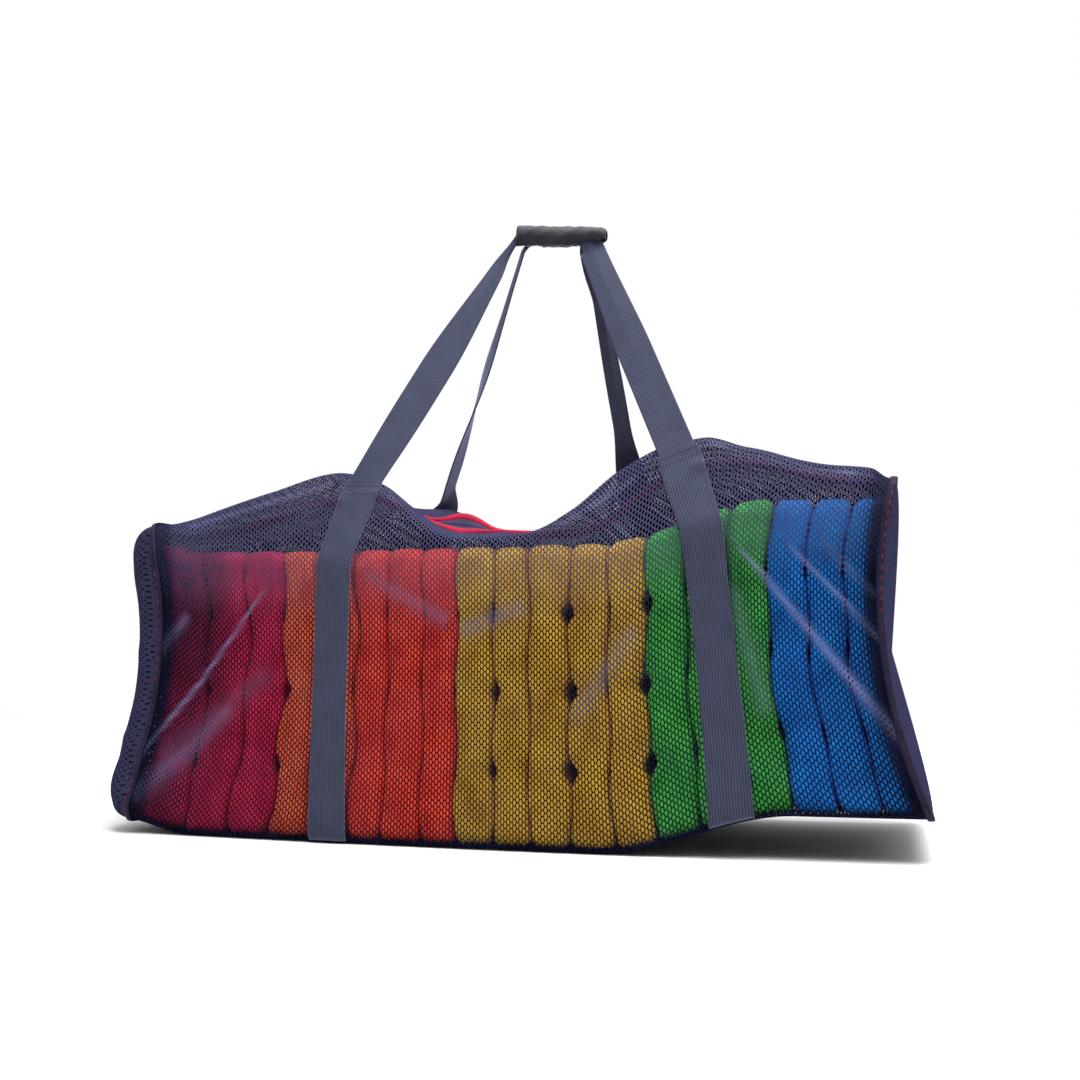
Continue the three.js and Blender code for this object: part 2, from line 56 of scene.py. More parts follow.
MIX_FACTOR, MIX_A, MIX_B, MIX_RESULT = 0, 6, 7, 2  # a mix node's sockets for colours
NET_COLUMN, NET_ROW = 4.05, 8.2  # how far apart the net's holes are, in millimetres
SEAM_SHIFT = 4.9  # how far an end seam lies beyond the body net, in millimetres
GRIP_AT = (23.0, 0.0, 869.0)  # the grip's middle in the bag's own frame, in millimetres
GRIP_TILT = math.radians(6.0)  # how far the grip's right end hangs

# The bag's own frame, in which its sizes are written, stands here in the row frame.
BAG_AT = np.array([45.4306, -13.2946, 0.0])


class Side(Enum):
    """Which side of the bag, with the sign of the way round its section."""

    FRONT = 1
    BACK = -1


class End(Enum):
    """Which end of the bag, with the sign of the way along it."""

    LEFT = -1
    RIGHT = 1


class Way(Enum):
    """How a free leg goes into the grip."""

    END = "end"
    UNDERSIDE = "underside"


class TopRow(NamedTuple):
    """Heights above the shoulder at one place along the bag, in millimetres."""

    x: float
    front: float
    zip: float
    back: float


class Fold(NamedTuple):
    """A ridge in the net from one point of the front to another, in millimetres, and its shine: pull and
    painted sheen.
    """

    from_x: float
    from_z: float
    to_x: float
    to_z: float
    height: float
    width: float
    end_width: float
    shine: float


class SewnRun(NamedTuple):
    """Where the middle of a sewn length of webbing lies along the bag."""

    foot: float
    shoulder: float
    ridge: float


class Twist(NamedTuple):
    """A turn of a free leg, in degrees, and the shares of its way up between which it is made."""

    start: float
    end: float
    turn: float


class GripEntry(NamedTuple):
    """Where and how a free leg enters the grip, its width there and its twists on the way."""

    x: float
    z: float
    width: float
    way: Way
    twists: tuple[Twist, ...]


class Strip(NamedTuple):
    """One cross-section of a tape: points of its inner face, its outward way and thickness."""

    inner: np.ndarray
    outward: np.ndarray
    thick: float


TOP_LINE = (
    TopRow(-519, 20, 21, 22),
    TopRow(-438, 54, 48, 50),
    TopRow(-357, 81, 76, 66),
    TopRow(-262, 109, 82, 76),
    TopRow(-198, 91, 54, 81),
    TopRow(-161, 63, 42, 69),
    TopRow(-135, 36, 40, 48),
    TopRow(-106, 14, 35, 37),
    TopRow(-80, 4, 27, 30),
    TopRow(-30, 3, 22, 18),
    TopRow(20, 9, 20, 22),
    TopRow(74, 42, 30, 76),
    TopRow(135, 97, 72, 92),
    TopRow(185, 113, 88, 84),
    TopRow(238, 104, 86, 74),
    TopRow(294, 69, 66, 58),
    TopRow(386, 38, 36, 36),
    TopRow(440, 31, 31, 31),
    TopRow(466, 16, 19, 18),
)

# The broad tension folds of the solid, then the finer creases that ride on them.
FRONT_FOLDS = (
    Fold(-350, 340, -545, 92, 8, 24, 24, 0.0),
    Fold(-382, 197, -555, 36, 9, 26, 26, 0.0),
    Fold(322, 320, 500, 86, 10, 24, 24, 0.0),
    Fold(360, 345, 480, 204, 7, 22, 22, 0.0),
    Fold(-335, 362, -571, 60, 3, 2.4, 3.2, 0.5),
    Fold(-471, 310, -552, 202, 2, 6, 8, 0.25),
    Fold(-382, 197, -562, 30, 4, 11, 13, 0.24),
    Fold(-330, 240, -520, 90, 2, 14, 16, 0.1),
    Fold(284, 357, 501, 86, 4, 3.0, 7, 0.48),
    Fold(351, 350, 483, 204, 3, 2.6, 3.5, 0.4),
    Fold(391, 353, 470, 268, 2, 5, 5, 0.18),
    Fold(283, 308, 333, 120, 2.5, 10, 10, 0.15),
    Fold(-74, 282, 26, 319, 2.5, 12, 12, 0.2),
    Fold(82, 164, 171, 285, 2.5, 12, 12, 0.15),
    Fold(-218, 368, -78, 296, 3, 10, 12, 0.2),
    Fold(-250, 498, -505, 430, 3, 7, 7, 0.3),
    Fold(-255, 468, -515, 418, 3, 8, 8, 0.2),
    Fold(235, 500, 455, 424, 3, 7, 7, 0.3),
    Fold(240, 468, 460, 415, 3, 8, 8, 0.2),
    Fold(-200, 478, -60, 425, 3, 8, 8, 0.25),
    Fold(175, 488, 60, 420, 3, 8, 8, 0.25),
)

SEWN_RUNS = {
    (Side.FRONT, End.LEFT): SewnRun(-258, -250, -227),
    (Side.FRONT, End.RIGHT): SewnRun(290, 253, 218),
    (Side.BACK, End.LEFT): SewnRun(-258, -254, -227),
    (Side.BACK, End.RIGHT): SewnRun(282, 203, 104),
}
GRIP_ENTRIES = {
    (Side.FRONT, End.LEFT): GripEntry(-69, -6, 19, Way.END, (Twist(0, 0.35, 8), Twist(0.8, 1, -8))),
    (Side.FRONT, End.RIGHT): GripEntry(49, -18, 38, Way.UNDERSIDE, (Twist(0, 0.35, -6), Twist(0.8, 1, 6))),
    (Side.BACK, End.LEFT): GripEntry(-57, -22, 9, Way.UNDERSIDE, (Twist(0, 0.12, 86), Twist(0.2, 0.66, 32))),
    (Side.BACK, End.RIGHT): GripEntry(46, -18, 34, Way.UNDERSIDE, (Twist(0, 0.35, -50), Twist(0.8, 1, 50))),
}

# Colour and room along the bag of each cushion, from left to right.
CUSHION_ROW = (
    ("crimson", 70), ("crimson", 65), ("crimson", 56),
    ("orange", 55), ("orange", 54),
    ("scarlet", 46), ("scarlet", 51), ("scarlet", 47),
    ("yellow", 51), ("yellow", 49), ("yellow", 53), ("yellow", 52), ("yellow", 49),
    ("green", 53), ("green", 51), ("green", 51),
    ("blue", 48), ("blue", 46), ("blue", 42),
)

# How strongly the cushions' sewn channels show as notches at each seam of the row, from its
# left end to its right end: lower, middle and upper channel.
SEAM_NOTCHES = (
    (0.1, 0.1, 0.1), (0.55, 0.5, 0.3), (0.1, 0.1, 0.1), (0.6, 0.65, 0.25), (0.1, 0.1, 0.1),
    (0.15, 0.2, 0.1), (0.1, 0.15, 0.1), (0.1, 0.1, 0.1), (0.12, 0.15, 0.1), (0.6, 0.65, 0.3),
    (0.1, 0.12, 0.1), (1.0, 0.95, 0.95), (0.1, 0.15, 0.1), (0.9, 0.85, 0.75), (0.3, 0.2, 0.1),
    (0.1, 0.1, 0.1), (0.3, 0.25, 0.2), (0.2, 0.2, 0.15), (0.2, 0.25, 0.15), (0.1, 0.1, 0.1),
)


def ease(x: np.ndarray | float, start: float | np.ndarray, end: float | np.ndarray) -> np.ndarray:
    """Ease from 0 to 1 as x goes from start to end.

    Args:
        x: where to read the ease.
        start: where it is still 0.
        end: where it has become 1.

    Returns:
        The eased share at each x.
    """
    t = np.clip((x - start) / (end - start), 0.0, 1.0)
    return t * t * (3 - 2 * t)


def unit(vector: np.ndarray) -> np.ndarray:
    """The vector at length 1."""
    return vector / np.linalg.norm(vector)


def in_row(points: np.ndarray) -> np.ndarray:
    """Points of the bag's own frame, in millimetres, as metres of the row frame."""
    return (np.asarray(points) + BAG_AT) * MM


def out_of_grip(
    x: np.ndarray | float, y: np.ndarray | float, z: np.ndarray | float
) -> np.ndarray:
    """Points of the bag's own frame from places in the grip, which hangs askew.

    Args:
        x: places along the grip from its middle.
        y: places across it.
        z: places up it.

    Returns:
        The points, with x, y and z on the last axis.
    """
    sin, cos = math.sin(GRIP_TILT), math.cos(GRIP_TILT)
    turned = np.broadcast_arrays(x * cos + z * sin, y, z * cos - x * sin)
    return np.stack(turned, axis=-1) + np.array(GRIP_AT)


@dataclass
class BagForm:
    """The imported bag's shape, in millimetres in the bag's own frame.

    A place on the body net is (x, s): x along the bag before its ends flare, and s round the
    section from the middle of the base, positive up the front and negative up the back.
    """

    left: float = -519.0
    right: float = 466.0
    cushion_side: float = 394.0
    foot_z: float = 3.8
    shoulder_z: float = 406.6
    bend_z: float = 379.6
    half_depth: float = 200.0
    zip_half: float = 15.6
    foot_round: float = 24.0
    shoulder_round: float = 14.0
    ridge_round: float = 24.0
    most_of_side: float = 0.45
    set_back_least: float = 8.0
    set_back_slope: float = 0.45
    lift_right: float = 54.0
    lift_right_over: tuple[float, float] = (110.0, 330.0)
    lift_left: float = 17.0
    lift_left_over: tuple[float, float] = (-440.0, -530.0)
    flare_at: float = 500.0
    flare_power: float = 1.5
    flare_waist: float = 270.0
    flare_foot: tuple[float, float] = (26.0, 34.0)
    flare_foot_over: float = 200.0
    flare_top: tuple[float, float] = (22.0, 19.0)
    flare_top_over: float = 140.0
    flare_top_most: float = 1.2
    bow_depth: float = 20.0
    bow_at: float = 480.0
    lean_height: float = 16.0
    lean_at: float = -125.0
    lean_over: float = 36.0
    row_start: float = -520.0
    dip: float = 1.6
    dip_width: float = 7.0
    dip_over: tuple[float, float] = (390.0, 360.0)
    fold_fade_in: float = 0.15
    fold_fade_out: float = 0.92
    relief_foot: tuple[float, float] = (2.0, 22.0)
    relief_over: float = 10.0
    step: float = 2.0
    longest: float = 960.0
    straight_steps: int = 60
    round_steps: int = 10
    last_cell: float = 1.001  # keeps a place at the very end inside the last cell
    stations: np.ndarray = field(init=False)
    spacing: float = field(init=False)
    seams: np.ndarray = field(init=False)
    lines: dict[Side, np.ndarray] = field(default_factory=dict)
    runs: dict[Side, np.ndarray] = field(default_factory=dict)
    grids: dict[Side, np.ndarray] = field(default_factory=dict)

    def __post_init__(self) -> None:
        """Work out every section once, evenly spaced along the bag and round it."""
        count = int((self.right - self.left) / self.step) + 1
        self.stations = np.linspace(self.left, self.right, count)
        self.spacing = (self.right - self.left) / (count - 1)
        rooms = [room for _, room in CUSHION_ROW]
        self.seams = self.row_start + np.cumsum(rooms)[:-1]
        places = np.arange(0.0, self.longest, self.step)
        for side in Side:
            line = self.half_line(self.stations, side)
            lengths = np.linalg.norm(np.diff(line, axis=1), axis=2)
            run = np.concatenate([np.zeros((count, 1)), np.cumsum(lengths, axis=1)], axis=1)
            self.lines[side] = line
            self.runs[side] = run
            self.grids[side] = np.stack([
                [np.interp(places, run[k], line[k, :, axis]) for k in range(count)] for axis in (0, 1)
            ], axis=2)

    def top_line(self, x: np.ndarray, column: str) -> np.ndarray:
        """A column of the top-line table on a smooth curve through its rows.

        Args:
            x: places along the bag.
            column: front, zip or back.

        Returns:
            The height above the shoulder at each place.
        """
        at = np.array([row.x for row in TOP_LINE], float)
        value = np.array([getattr(row, column) for row in TOP_LINE], float)
        steep = np.diff(value) / np.diff(at)
        slope = np.zeros_like(value)
        product = steep[:-1] * steep[1:]
        total = np.where(product > 0, steep[:-1] + steep[1:], 1.0)
        slope[1:-1] = np.where(product > 0, 2 * product / total, 0.0)
        k = np.clip(np.searchsorted(at, x, side="right") - 1, 0, len(at) - 2)
        span = at[k + 1] - at[k]
        t = np.clip((x - at[k]) / span, 0.0, 1.0)
        return (
            (2 * t**3 - 3 * t**2 + 1) * value[k] + (t**3 - 2 * t**2 + t) * span * slope[k]
            + (3 * t**2 - 2 * t**3) * value[k + 1] + (t**3 - t**2) * span * slope[k + 1]
        )

    def ridge_depth(self, x: np.ndarray, side: Side) -> np.ndarray:
        """How far out from the zip's middle the ridge of one side lies at x."""
        rise = self.top_line(x, side.name.lower())
        return self.half_depth - self.set_back_least - self.set_back_slope * rise

    def zip_lean(self, x: np.ndarray) -> np.ndarray:
        """How far the zip's back edge stands above its middle at x, and its front edge below."""
        return self.lean_height * np.exp(-(((x - self.lean_at) / self.lean_over) ** 2))

    def lift(self, x: np.ndarray) -> np.ndarray:
        """How far the base is off the floor at x."""
        right = self.lift_right * ease(x, *self.lift_right_over)
        return right + self.lift_left * ease(x, *self.lift_left_over)

    def flare(self, x: np.ndarray, z: np.ndarray) -> np.ndarray:
        """How far the load spreads along the bag below and above its waist.

        Args:
            x: places along the bag.
            z: heights in the section.

        Returns:
            The distance each place is moved along the bag.
        """
        below = np.maximum((self.flare_waist - z) / self.flare_foot_over, 0)
        above = np.clip((z - self.flare_waist) / self.flare_top_over, 0, self.flare_top_most)
        foot, top = np.where(x < 0, *self.flare_foot), np.where(x < 0, *self.flare_top)
        spread = foot * below**2 + top * above**2
        return np.sign(x) * spread * np.abs(x / self.flare_at) ** self.flare_power

    def place(self, x: np.ndarray, y: np.ndarray, z: np.ndarray) -> np.ndarray:
        """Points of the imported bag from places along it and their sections' y and z.

        Args:
            x: places along the bag.
            y: depths in the section.
            z: heights in the section.

        Returns:
            The points, with x, y and z on the last axis.
        """
        x, y, z = np.broadcast_arrays(np.asarray(x, float), y, z)
        bow = self.bow_depth * (x / self.bow_at) ** 2
        return np.stack([x + self.flare(x, z), y + bow, z + self.lift(x)], axis=-1)

    def folds(self, x: np.ndarray, z: np.ndarray) -> tuple[np.ndarray, np.ndarray]:
        """How far the folds and creases push the front out, and how tight they pull its yarn, which also
        sets their painted sheen.

        Args:
            x: places along the bag.
            z: heights in the section.

        Returns:
            The height of the folds and their shine, which sets both their pull and their painted sheen, at
            each place.
        """
        px = x + self.flare(x, z)
        height = np.zeros(np.broadcast(x, z).shape)
        shine = height
        for fold in FRONT_FOLDS:
            dx, dz = fold.to_x - fold.from_x, fold.to_z - fold.from_z
            along = ((px - fold.from_x) * dx + (z - fold.from_z) * dz) / (dx * dx + dz * dz)
            along = np.clip(along, 0.0, 1.0)
            off = np.hypot(px - fold.from_x - along * dx, z - fold.from_z - along * dz)
            ridge = np.exp(-((off / (fold.width + (fold.end_width - fold.width) * along)) ** 2))
            height = height + fold.height * ridge
            fade = ease(along, 0.0, self.fold_fade_in) * ease(along, 1.0, self.fold_fade_out)
            # a fold's shine shuts its holes and gives its yarn painted sheen
            shine = np.maximum(shine, fold.shine * ridge * fade)
        return height, shine

    def half_line(self, x: np.ndarray, side: Side) -> np.ndarray:
        """Half of the net's section at each x, from the middle of the base up to the zip's edge.

        Args:
            x: places along the bag.
            side: front or back.

        Returns:
            Points as (depth, height) for each place, depth counted outwards.
        """
        flat = np.zeros_like(x)
        ridge = self.top_line(x, side.name.lower())
        ridge_y = self.ridge_depth(x, side)
        zip_z = self.shoulder_z + self.top_line(x, "zip") - side.value * self.zip_lean(x)
        corners = [
            np.stack([flat, flat], axis=1),
            np.stack([flat + self.half_depth, flat], axis=1),
            np.stack([flat + self.half_depth, flat + self.bend_z], axis=1),
            np.stack([ridge_y, self.shoulder_z + ridge], axis=1),
            np.stack([flat + self.zip_half, zip_z], axis=1),
        ]
        rounds = (0.0, self.foot_round, self.shoulder_round, self.ridge_round, 0.0)
        points, start = [], corners[0]
        for k in range(1, len(corners)):
            at, before, after = corners[k], corners[k - 1], corners[min(k + 1, len(corners) - 1)]
            back, ahead = before - at, after - at
            far_back = np.linalg.norm(back, axis=1, keepdims=True)
            far_ahead = np.linalg.norm(ahead, axis=1, keepdims=True)
            cut = np.minimum(rounds[k], self.most_of_side * np.minimum(far_back, far_ahead))
            enter = at + back / far_back * cut
            leave = at + ahead / np.maximum(far_ahead, 1e-9) * cut
            share = np.arange(self.straight_steps)[None, :, None] / self.straight_steps
            points.append(start[:, None] * (1 - share) + enter[:, None] * share)
            if rounds[k]:
                t = np.arange(self.round_steps)[None, :, None] / self.round_steps
                bent = (1 - t) ** 2 * enter[:, None] + 2 * t * (1 - t) * at[:, None]
                points.append(bent + t * t * leave[:, None])
            start = leave
        points.append(start[:, None])
        line = np.concatenate(points, axis=1)
        return self.with_relief(x, line, ridge_y, side)

    def with_relief(self, x: np.ndarray, line: np.ndarray, ridge_y: np.ndarray, side: Side) -> np.ndarray:
        """A section with the folds of the front and the dips between cushions worked in.

        Args:
            x: places along the bag.
            line: the plain sections.
            ridge_y: depth of the ridge at each place.
            side: front or back.

        Returns:
            The sections with their relief.
        """
        depth, height = line[..., 0], line[..., 1]
        ridge = ridge_y[:, None]
        on_wall = ease(depth, ridge, ridge + self.relief_over) * ease(height, *self.relief_foot)
        beside = np.abs(x[:, None] - self.seams[None, :]).min(axis=1)
        dips = self.dip * np.exp(-((beside / self.dip_width) ** 2))[:, None] * ease(height, *self.dip_over)
        relief = -dips
        if side is Side.FRONT:
            relief = relief + self.folds(x[:, None], height)[0]
        return np.stack([depth + on_wall * relief, height], axis=-1)

    def section_point(self, x: np.ndarray, s: np.ndarray) -> tuple[np.ndarray, np.ndarray]:
        """Depth and height in the section at places of the net.

        Args:
            x: places along the bag.
            s: places round the section.

        Returns:
            The section's y, front negative, and z.
        """
        fx = np.clip((x - self.left) / self.spacing, 0, len(self.stations) - self.last_cell)
        fs = np.clip(np.abs(s) / self.step, 0, self.grids[Side.FRONT].shape[1] - self.last_cell)
        i, j = fx.astype(int), fs.astype(int)
        a, b = (fx - i)[..., None], (fs - j)[..., None]
        read = []
        for side in Side:
            grid = self.grids[side]
            read.append(
                grid[i, j] * (1 - a) * (1 - b) + grid[i + 1, j] * a * (1 - b)
                + grid[i, j + 1] * (1 - a) * b + grid[i + 1, j + 1] * a * b
            )
        found = np.where((s >= 0)[..., None], read[0], read[1])
        return np.where(s >= 0, -1.0, 1.0) * found[..., 0], found[..., 1]

    def surface(self, x: np.ndarray, s: np.ndarray) -> np.ndarray:
        """Points of the body net.

        Args:
            x: places along the bag.
            s: places round the section.

        Returns:
            The points in the bag's own frame.
        """
        x, s = np.broadcast_arrays(np.asarray(x, float), np.asarray(s, float))
        return self.place(x, *self.section_point(x, s))

    def corner_run(self, x: float, side: Side, index: int) -> float:
        """How far round the section a point of its line lies at x.

        Args:
            x: place along the bag.
            side: front or back.
            index: which point of the line.

        Returns:
            The length from the middle of the base.
        """
        return float(np.interp(x, self.stations, self.runs[side][:, index]))

    def height_run(self, x: float, side: Side, height: float) -> float:
        """How far round the section the net reaches a height at x.

        Args:
            x: place along the bag.
            side: front or back.
            height: height in the section, between the foot and the ridge.

        Returns:
            The length from the middle of the base.
        """
        k = int(np.clip(round((x - self.left) / self.spacing), 0, len(self.stations) - 1))
        first, last = self.straight_steps, 3 * (self.straight_steps + self.round_steps)
        return float(np.interp(height, self.lines[side][k, first:last, 1], self.runs[side][k, first:last]))

    def rim(self, x: float) -> np.ndarray:
        """The closed section at x as (y, z), from the front zip edge round the base."""
        front = self.half_line(np.array([x]), Side.FRONT)[0][::-1] * np.array([-1.0, 1.0])
        back = self.half_line(np.array([x]), Side.BACK)[0]
        return np.concatenate([front, back[1:]])


def linear(code: str) -> tuple[float, float, float, float]:
    """An sRGB hex colour as linear values.

    Args:
        code: six hex digits.

    Returns:
        Red, green, blue and an alpha of 1.
    """
    shares = [int(code[k:k + 2], 16) / 255 for k in (0, 2, 4)]
    red, green, blue = (c / 12.92 if c <= 0.04045 else ((c + 0.055) / 1.055) ** 2.4 for c in shares)
    return red, green, blue, 1.0


def add_node(
    tree: bpy.types.NodeTree,
    kind: str,
    settings: dict[str | int, object] | None = None,
    links: dict[str | int, bpy.types.NodeSocket] | None = None,
) -> bpy.types.Node:
    """Add a node with its settings and links.

    Args:
        tree: the node tree.
        kind: the node's type.
        settings: properties by name, and values of sockets by name or number.
        links: outputs of other nodes by the socket that they feed.

    Returns:
        The new node.
    """
    node = tree.nodes.new(kind)
    for name, value in (settings or {}).items():
        if isinstance(name, str) and hasattr(node, name):
            setattr(node, name, value)
        else:
            node.inputs[name].default_value = value
    for name, output in (links or {}).items():
        tree.links.new(output, node.inputs[name])
    return node


@dataclass(frozen=True)
class Cloth:
    """A cloth finish: its colours, its shine and how fine its weave is, sizes in millimetres."""

    name: str
    dark: str
    light: str
    roughness: float = 0.7
    sheen: float = 0.3
    sheen_tint: str = "ffffff"
    blotch_mm: float = 40.0
    weave_mm: float = 2.4
    weave_depth_mm: float = 0.25
    weave_shade: float = 0.25
    specular: float = 0.15
    ior: float = 1.5
    sheen_roughness: float = 0.45
    blotch_detail: float = 4.0
    wobble: float = 0.6
    dark_to: float = 0.3
    light_from: float = 0.85
    bump: float = 0.6

    def start(self) -> tuple[bpy.types.Material, bpy.types.NodeTree, bpy.types.Node]:
        """Make the material with its shader set.

        Returns:
            The material, its tree and its shader.
        """
        material = bpy.data.materials.new(self.name)
        material.use_nodes = True
        tree = material.node_tree
        shader = tree.nodes["Principled BSDF"]
        for socket, value in (
            ("Roughness", self.roughness),
            ("IOR", self.ior),
            ("Specular IOR Level", self.specular),
            ("Sheen Weight", self.sheen),
            ("Sheen Roughness", self.sheen_roughness),
            ("Sheen Tint", linear(self.sheen_tint)),
        ):
            shader.inputs[socket].default_value = value
        return material, tree, shader

    def blotches(self, tree: bpy.types.NodeTree) -> bpy.types.NodeSocket:
        """Add soft blotches all over the cloth.

        Args:
            tree: the material's tree.

        Returns:
            Their share of light, from 0 to 1.
        """
        place = add_node(tree, "ShaderNodeTexCoord").outputs["Object"]
        settings = {"Scale": 1 / (self.blotch_mm * MM), "Detail": self.blotch_detail}
        return add_node(tree, "ShaderNodeTexNoise", settings, {"Vector": place}).outputs["Fac"]

    def threads(
        self,
        tree: bpy.types.NodeTree,
        direction: str,
        pitch_mm: float,
        wobble: float,
        along: bpy.types.NodeSocket,
    ) -> bpy.types.NodeSocket:
        """Add a band of parallel threads.

        Args:
            tree: the material's tree.
            direction: the axis that the threads follow one another on.
            pitch_mm: how far apart they are.
            wobble: how unevenly they lie.
            along: coordinates in metres.

        Returns:
            The threads' height, from 0 to 1.
        """
        settings = {
            "wave_type": "BANDS",
            "bands_direction": direction,
            "Scale": WAVE_SCALE / (pitch_mm * MM),
            "Distortion": wobble,
        }
        return add_node(tree, "ShaderNodeTexWave", settings, {"Vector": along}).outputs["Fac"]

    def shades(self, tree: bpy.types.NodeTree, share: bpy.types.NodeSocket) -> bpy.types.NodeSocket:
        """Add the cloth's two shades.

        Args:
            tree: the material's tree.
            share: how light the cloth is.

        Returns:
            Its colour.
        """
        ramp = add_node(tree, "ShaderNodeValToRGB", {}, {"Fac": share})
        dark, light = ramp.color_ramp.elements
        dark.position, light.position = self.dark_to, self.light_from
        dark.color, light.color = linear(self.dark), linear(self.light)
        return ramp.outputs["Color"]

    def finish(
        self,
        tree: bpy.types.NodeTree,
        shader: bpy.types.Node,
        colour: bpy.types.NodeSocket,
        height: bpy.types.NodeSocket,
    ) -> None:
        """Give the shader its colour and the relief of its threads.

        Args:
            tree: the material's tree.
            shader: its shader.
            colour: the cloth's colour.
            height: the threads' height.
        """
        settings = {"Strength": self.bump, "Distance": self.weave_depth_mm * MM}
        bump = add_node(tree, "ShaderNodeBump", settings, {"Height": height})
        tree.links.new(colour, shader.inputs["Base Color"])
        tree.links.new(bump.outputs["Normal"], shader.inputs["Normal"])

    def make(self) -> bpy.types.Material:
        """Make a plain weave in two shades, blotched softly, with painted shade between its threads.

        Returns:
            The material.
        """
        material, tree, shader = self.start()
        place = add_node(tree, "ShaderNodeTexCoord").outputs["Object"]
        warp, weft = (self.threads(tree, way, self.weave_mm, self.wobble, place) for way in ("Y", "Z"))
        weave = add_node(tree, "ShaderNodeMath", {"operation": "MULTIPLY"}, {0: warp, 1: weft})
        # painted shade between the threads, on top of the blotches
        shade = add_node(
            tree, "ShaderNodeMath", {"operation": "MULTIPLY_ADD", 1: self.weave_shade},
            {0: weave.outputs["Value"], 2: self.blotches(tree)},
        )
        colour = self.tint(tree, self.shades(tree, shade.outputs["Value"]))
        self.finish(tree, shader, colour, weave.outputs["Value"])
        return material

    def tint(self, tree: bpy.types.NodeTree, colour: bpy.types.NodeSocket) -> bpy.types.NodeSocket:
        """The colour as it is, for a cloth that is the same all over."""
        return colour


@dataclass(frozen=True)
class Yarn(Cloth):
    """Knitted filament yarn, paled by painted sheen and darkened by painted shade in its stitch gaps."""

    # the pale colour mixed in as painted sheen, then the painted shade in the stitch gaps
    painted_sheen_colour: str = "8988ba"
    gap: str = "030308"
    slit_shade_share: float = 0.8
    slit_shade_from: float = 0.25
    slit_shade_to: float = 0.6

    def tint(self, tree: bpy.types.NodeTree, colour: bpy.types.NodeSocket) -> bpy.types.NodeSocket:
        """Pale the colour with painted sheen by the piece's own share of shine, and darken it with painted
        shade in the stitch gaps.

        Args:
            tree: the material's tree.
            colour: the yarn's colour before its painted sheen and shade.

        Returns:
            The colour with its painted sheen and its painted shade in the gaps.
        """
        shine = add_node(tree, "ShaderNodeAttribute", {"attribute_name": PAINTED_SHEEN}).outputs["Fac"]
        # painted sheen first, then painted shade in the stitch gaps
        for share, other in ((shine, self.painted_sheen_colour), (self.gaps(tree), self.gap)):
            mixed = add_node(
                tree, "ShaderNodeMix", {"data_type": "RGBA", MIX_B: linear(other)},
                {MIX_FACTOR: share, MIX_A: colour},
            )
            colour = mixed.outputs[MIX_RESULT]
        return colour

    def gaps(self, tree: bpy.types.NodeTree) -> bpy.types.NodeSocket:
        """Find the middles of the net's holes, where painted shade stands for the dark slits of yarn drawn
        together.

        Args:
            tree: the material's tree.

        Returns:
            The share of painted shade in the slits.
        """
        flat = add_node(tree, "ShaderNodeUVMap", {"uv_map": RUN_MAP}).outputs["UV"]
        split = add_node(tree, "ShaderNodeSeparateXYZ", {}, {"Vector": flat})
        waves = []
        for axis, half_turn in (("X", NET_COLUMN), ("Y", NET_ROW / 2)):
            turn = add_node(
                tree, "ShaderNodeMath", {"operation": "MULTIPLY", 1: math.pi / (half_turn * MM)},
                {0: split.outputs[axis]},
            )
            wave = add_node(tree, "ShaderNodeMath", {"operation": "COSINE"}, {0: turn.outputs["Value"]})
            waves.append(wave.outputs["Value"])
        both = add_node(tree, "ShaderNodeMath", {"operation": "MULTIPLY"}, dict(enumerate(waves)))
        share = add_node(
            tree, "ShaderNodeMapRange",
            {"From Min": self.slit_shade_from, "From Max": self.slit_shade_to, "To Max": self.slit_shade_share},
            {"Value": both.outputs["Value"]},
        )
        return share.outputs["Result"]


@dataclass(frozen=True)
class Webbing(Cloth):
    """Woven polyester webbing: dull ribs along it, crossed by fine picks, with painted shade in the furrows.
    """

    blotch_detail: float = 5.0
    wobble: float = 0.4
    dark_to: float = 0.35
    light_from: float = 0.95
    bump: float = 0.5
    rib_mm: float = 3.33
    pick_mm: float = 2.2
    pick_share: float = 0.5
    mottle: float = 0.3
    mottle_least: float = 0.25

    def make(self) -> bpy.types.Material:
        """Make the webbing, whose picks run across the tape by its own map.

        Returns:
            The material.
        """
        material, tree, shader = self.start()
        run = add_node(tree, "ShaderNodeUVMap", {"uv_map": RUN_MAP}).outputs["UV"]
        picks = self.threads(tree, "Y", self.pick_mm, self.wobble, run)
        ribs = self.threads(tree, "X", self.rib_mm, 0.0, run)
        threads = add_node(
            tree, "ShaderNodeMath", {"operation": "MULTIPLY_ADD", 1: self.pick_share}, {0: picks, 2: ribs}
        )
        mottle = add_node(
            tree, "ShaderNodeMath", {"operation": "MULTIPLY_ADD", 1: self.mottle, 2: self.mottle_least},
            {0: self.blotches(tree)},
        )
        # painted shade in the furrows, on top of the mottle
        shade = add_node(
            tree, "ShaderNodeMath", {"operation": "MULTIPLY_ADD", 1: self.weave_shade},
            {0: threads.outputs["Value"], 2: mottle.outputs["Value"]},
        )
        self.finish(tree, shader, self.shades(tree, shade.outputs["Value"]), threads.outputs["Value"])
        return material


# Warp-knitted polyester: navy yarn, dark and matt, paler where painted sheen is mixed in, darker where
# painted shade fills its slits.
NET_YARN = Yarn(
    "knitted_polyester_net", "07070f", "15162c", roughness=0.6, sheen=0.04, sheen_tint="7c86e0",
    blotch_mm=60.0, weave_mm=0.8, weave_depth_mm=0.15, weave_shade=0.3, specular=0.0,
)
# Woven polyester webbing, slate blue and dull.
STRAP_WEBBING = Webbing(
    "polyester_webbing", "15171f", "3e4258", roughness=0.8, sheen=0.4, sheen_tint="a8b0d8",
    blotch_mm=30.0, weave_shade=0.4,
)
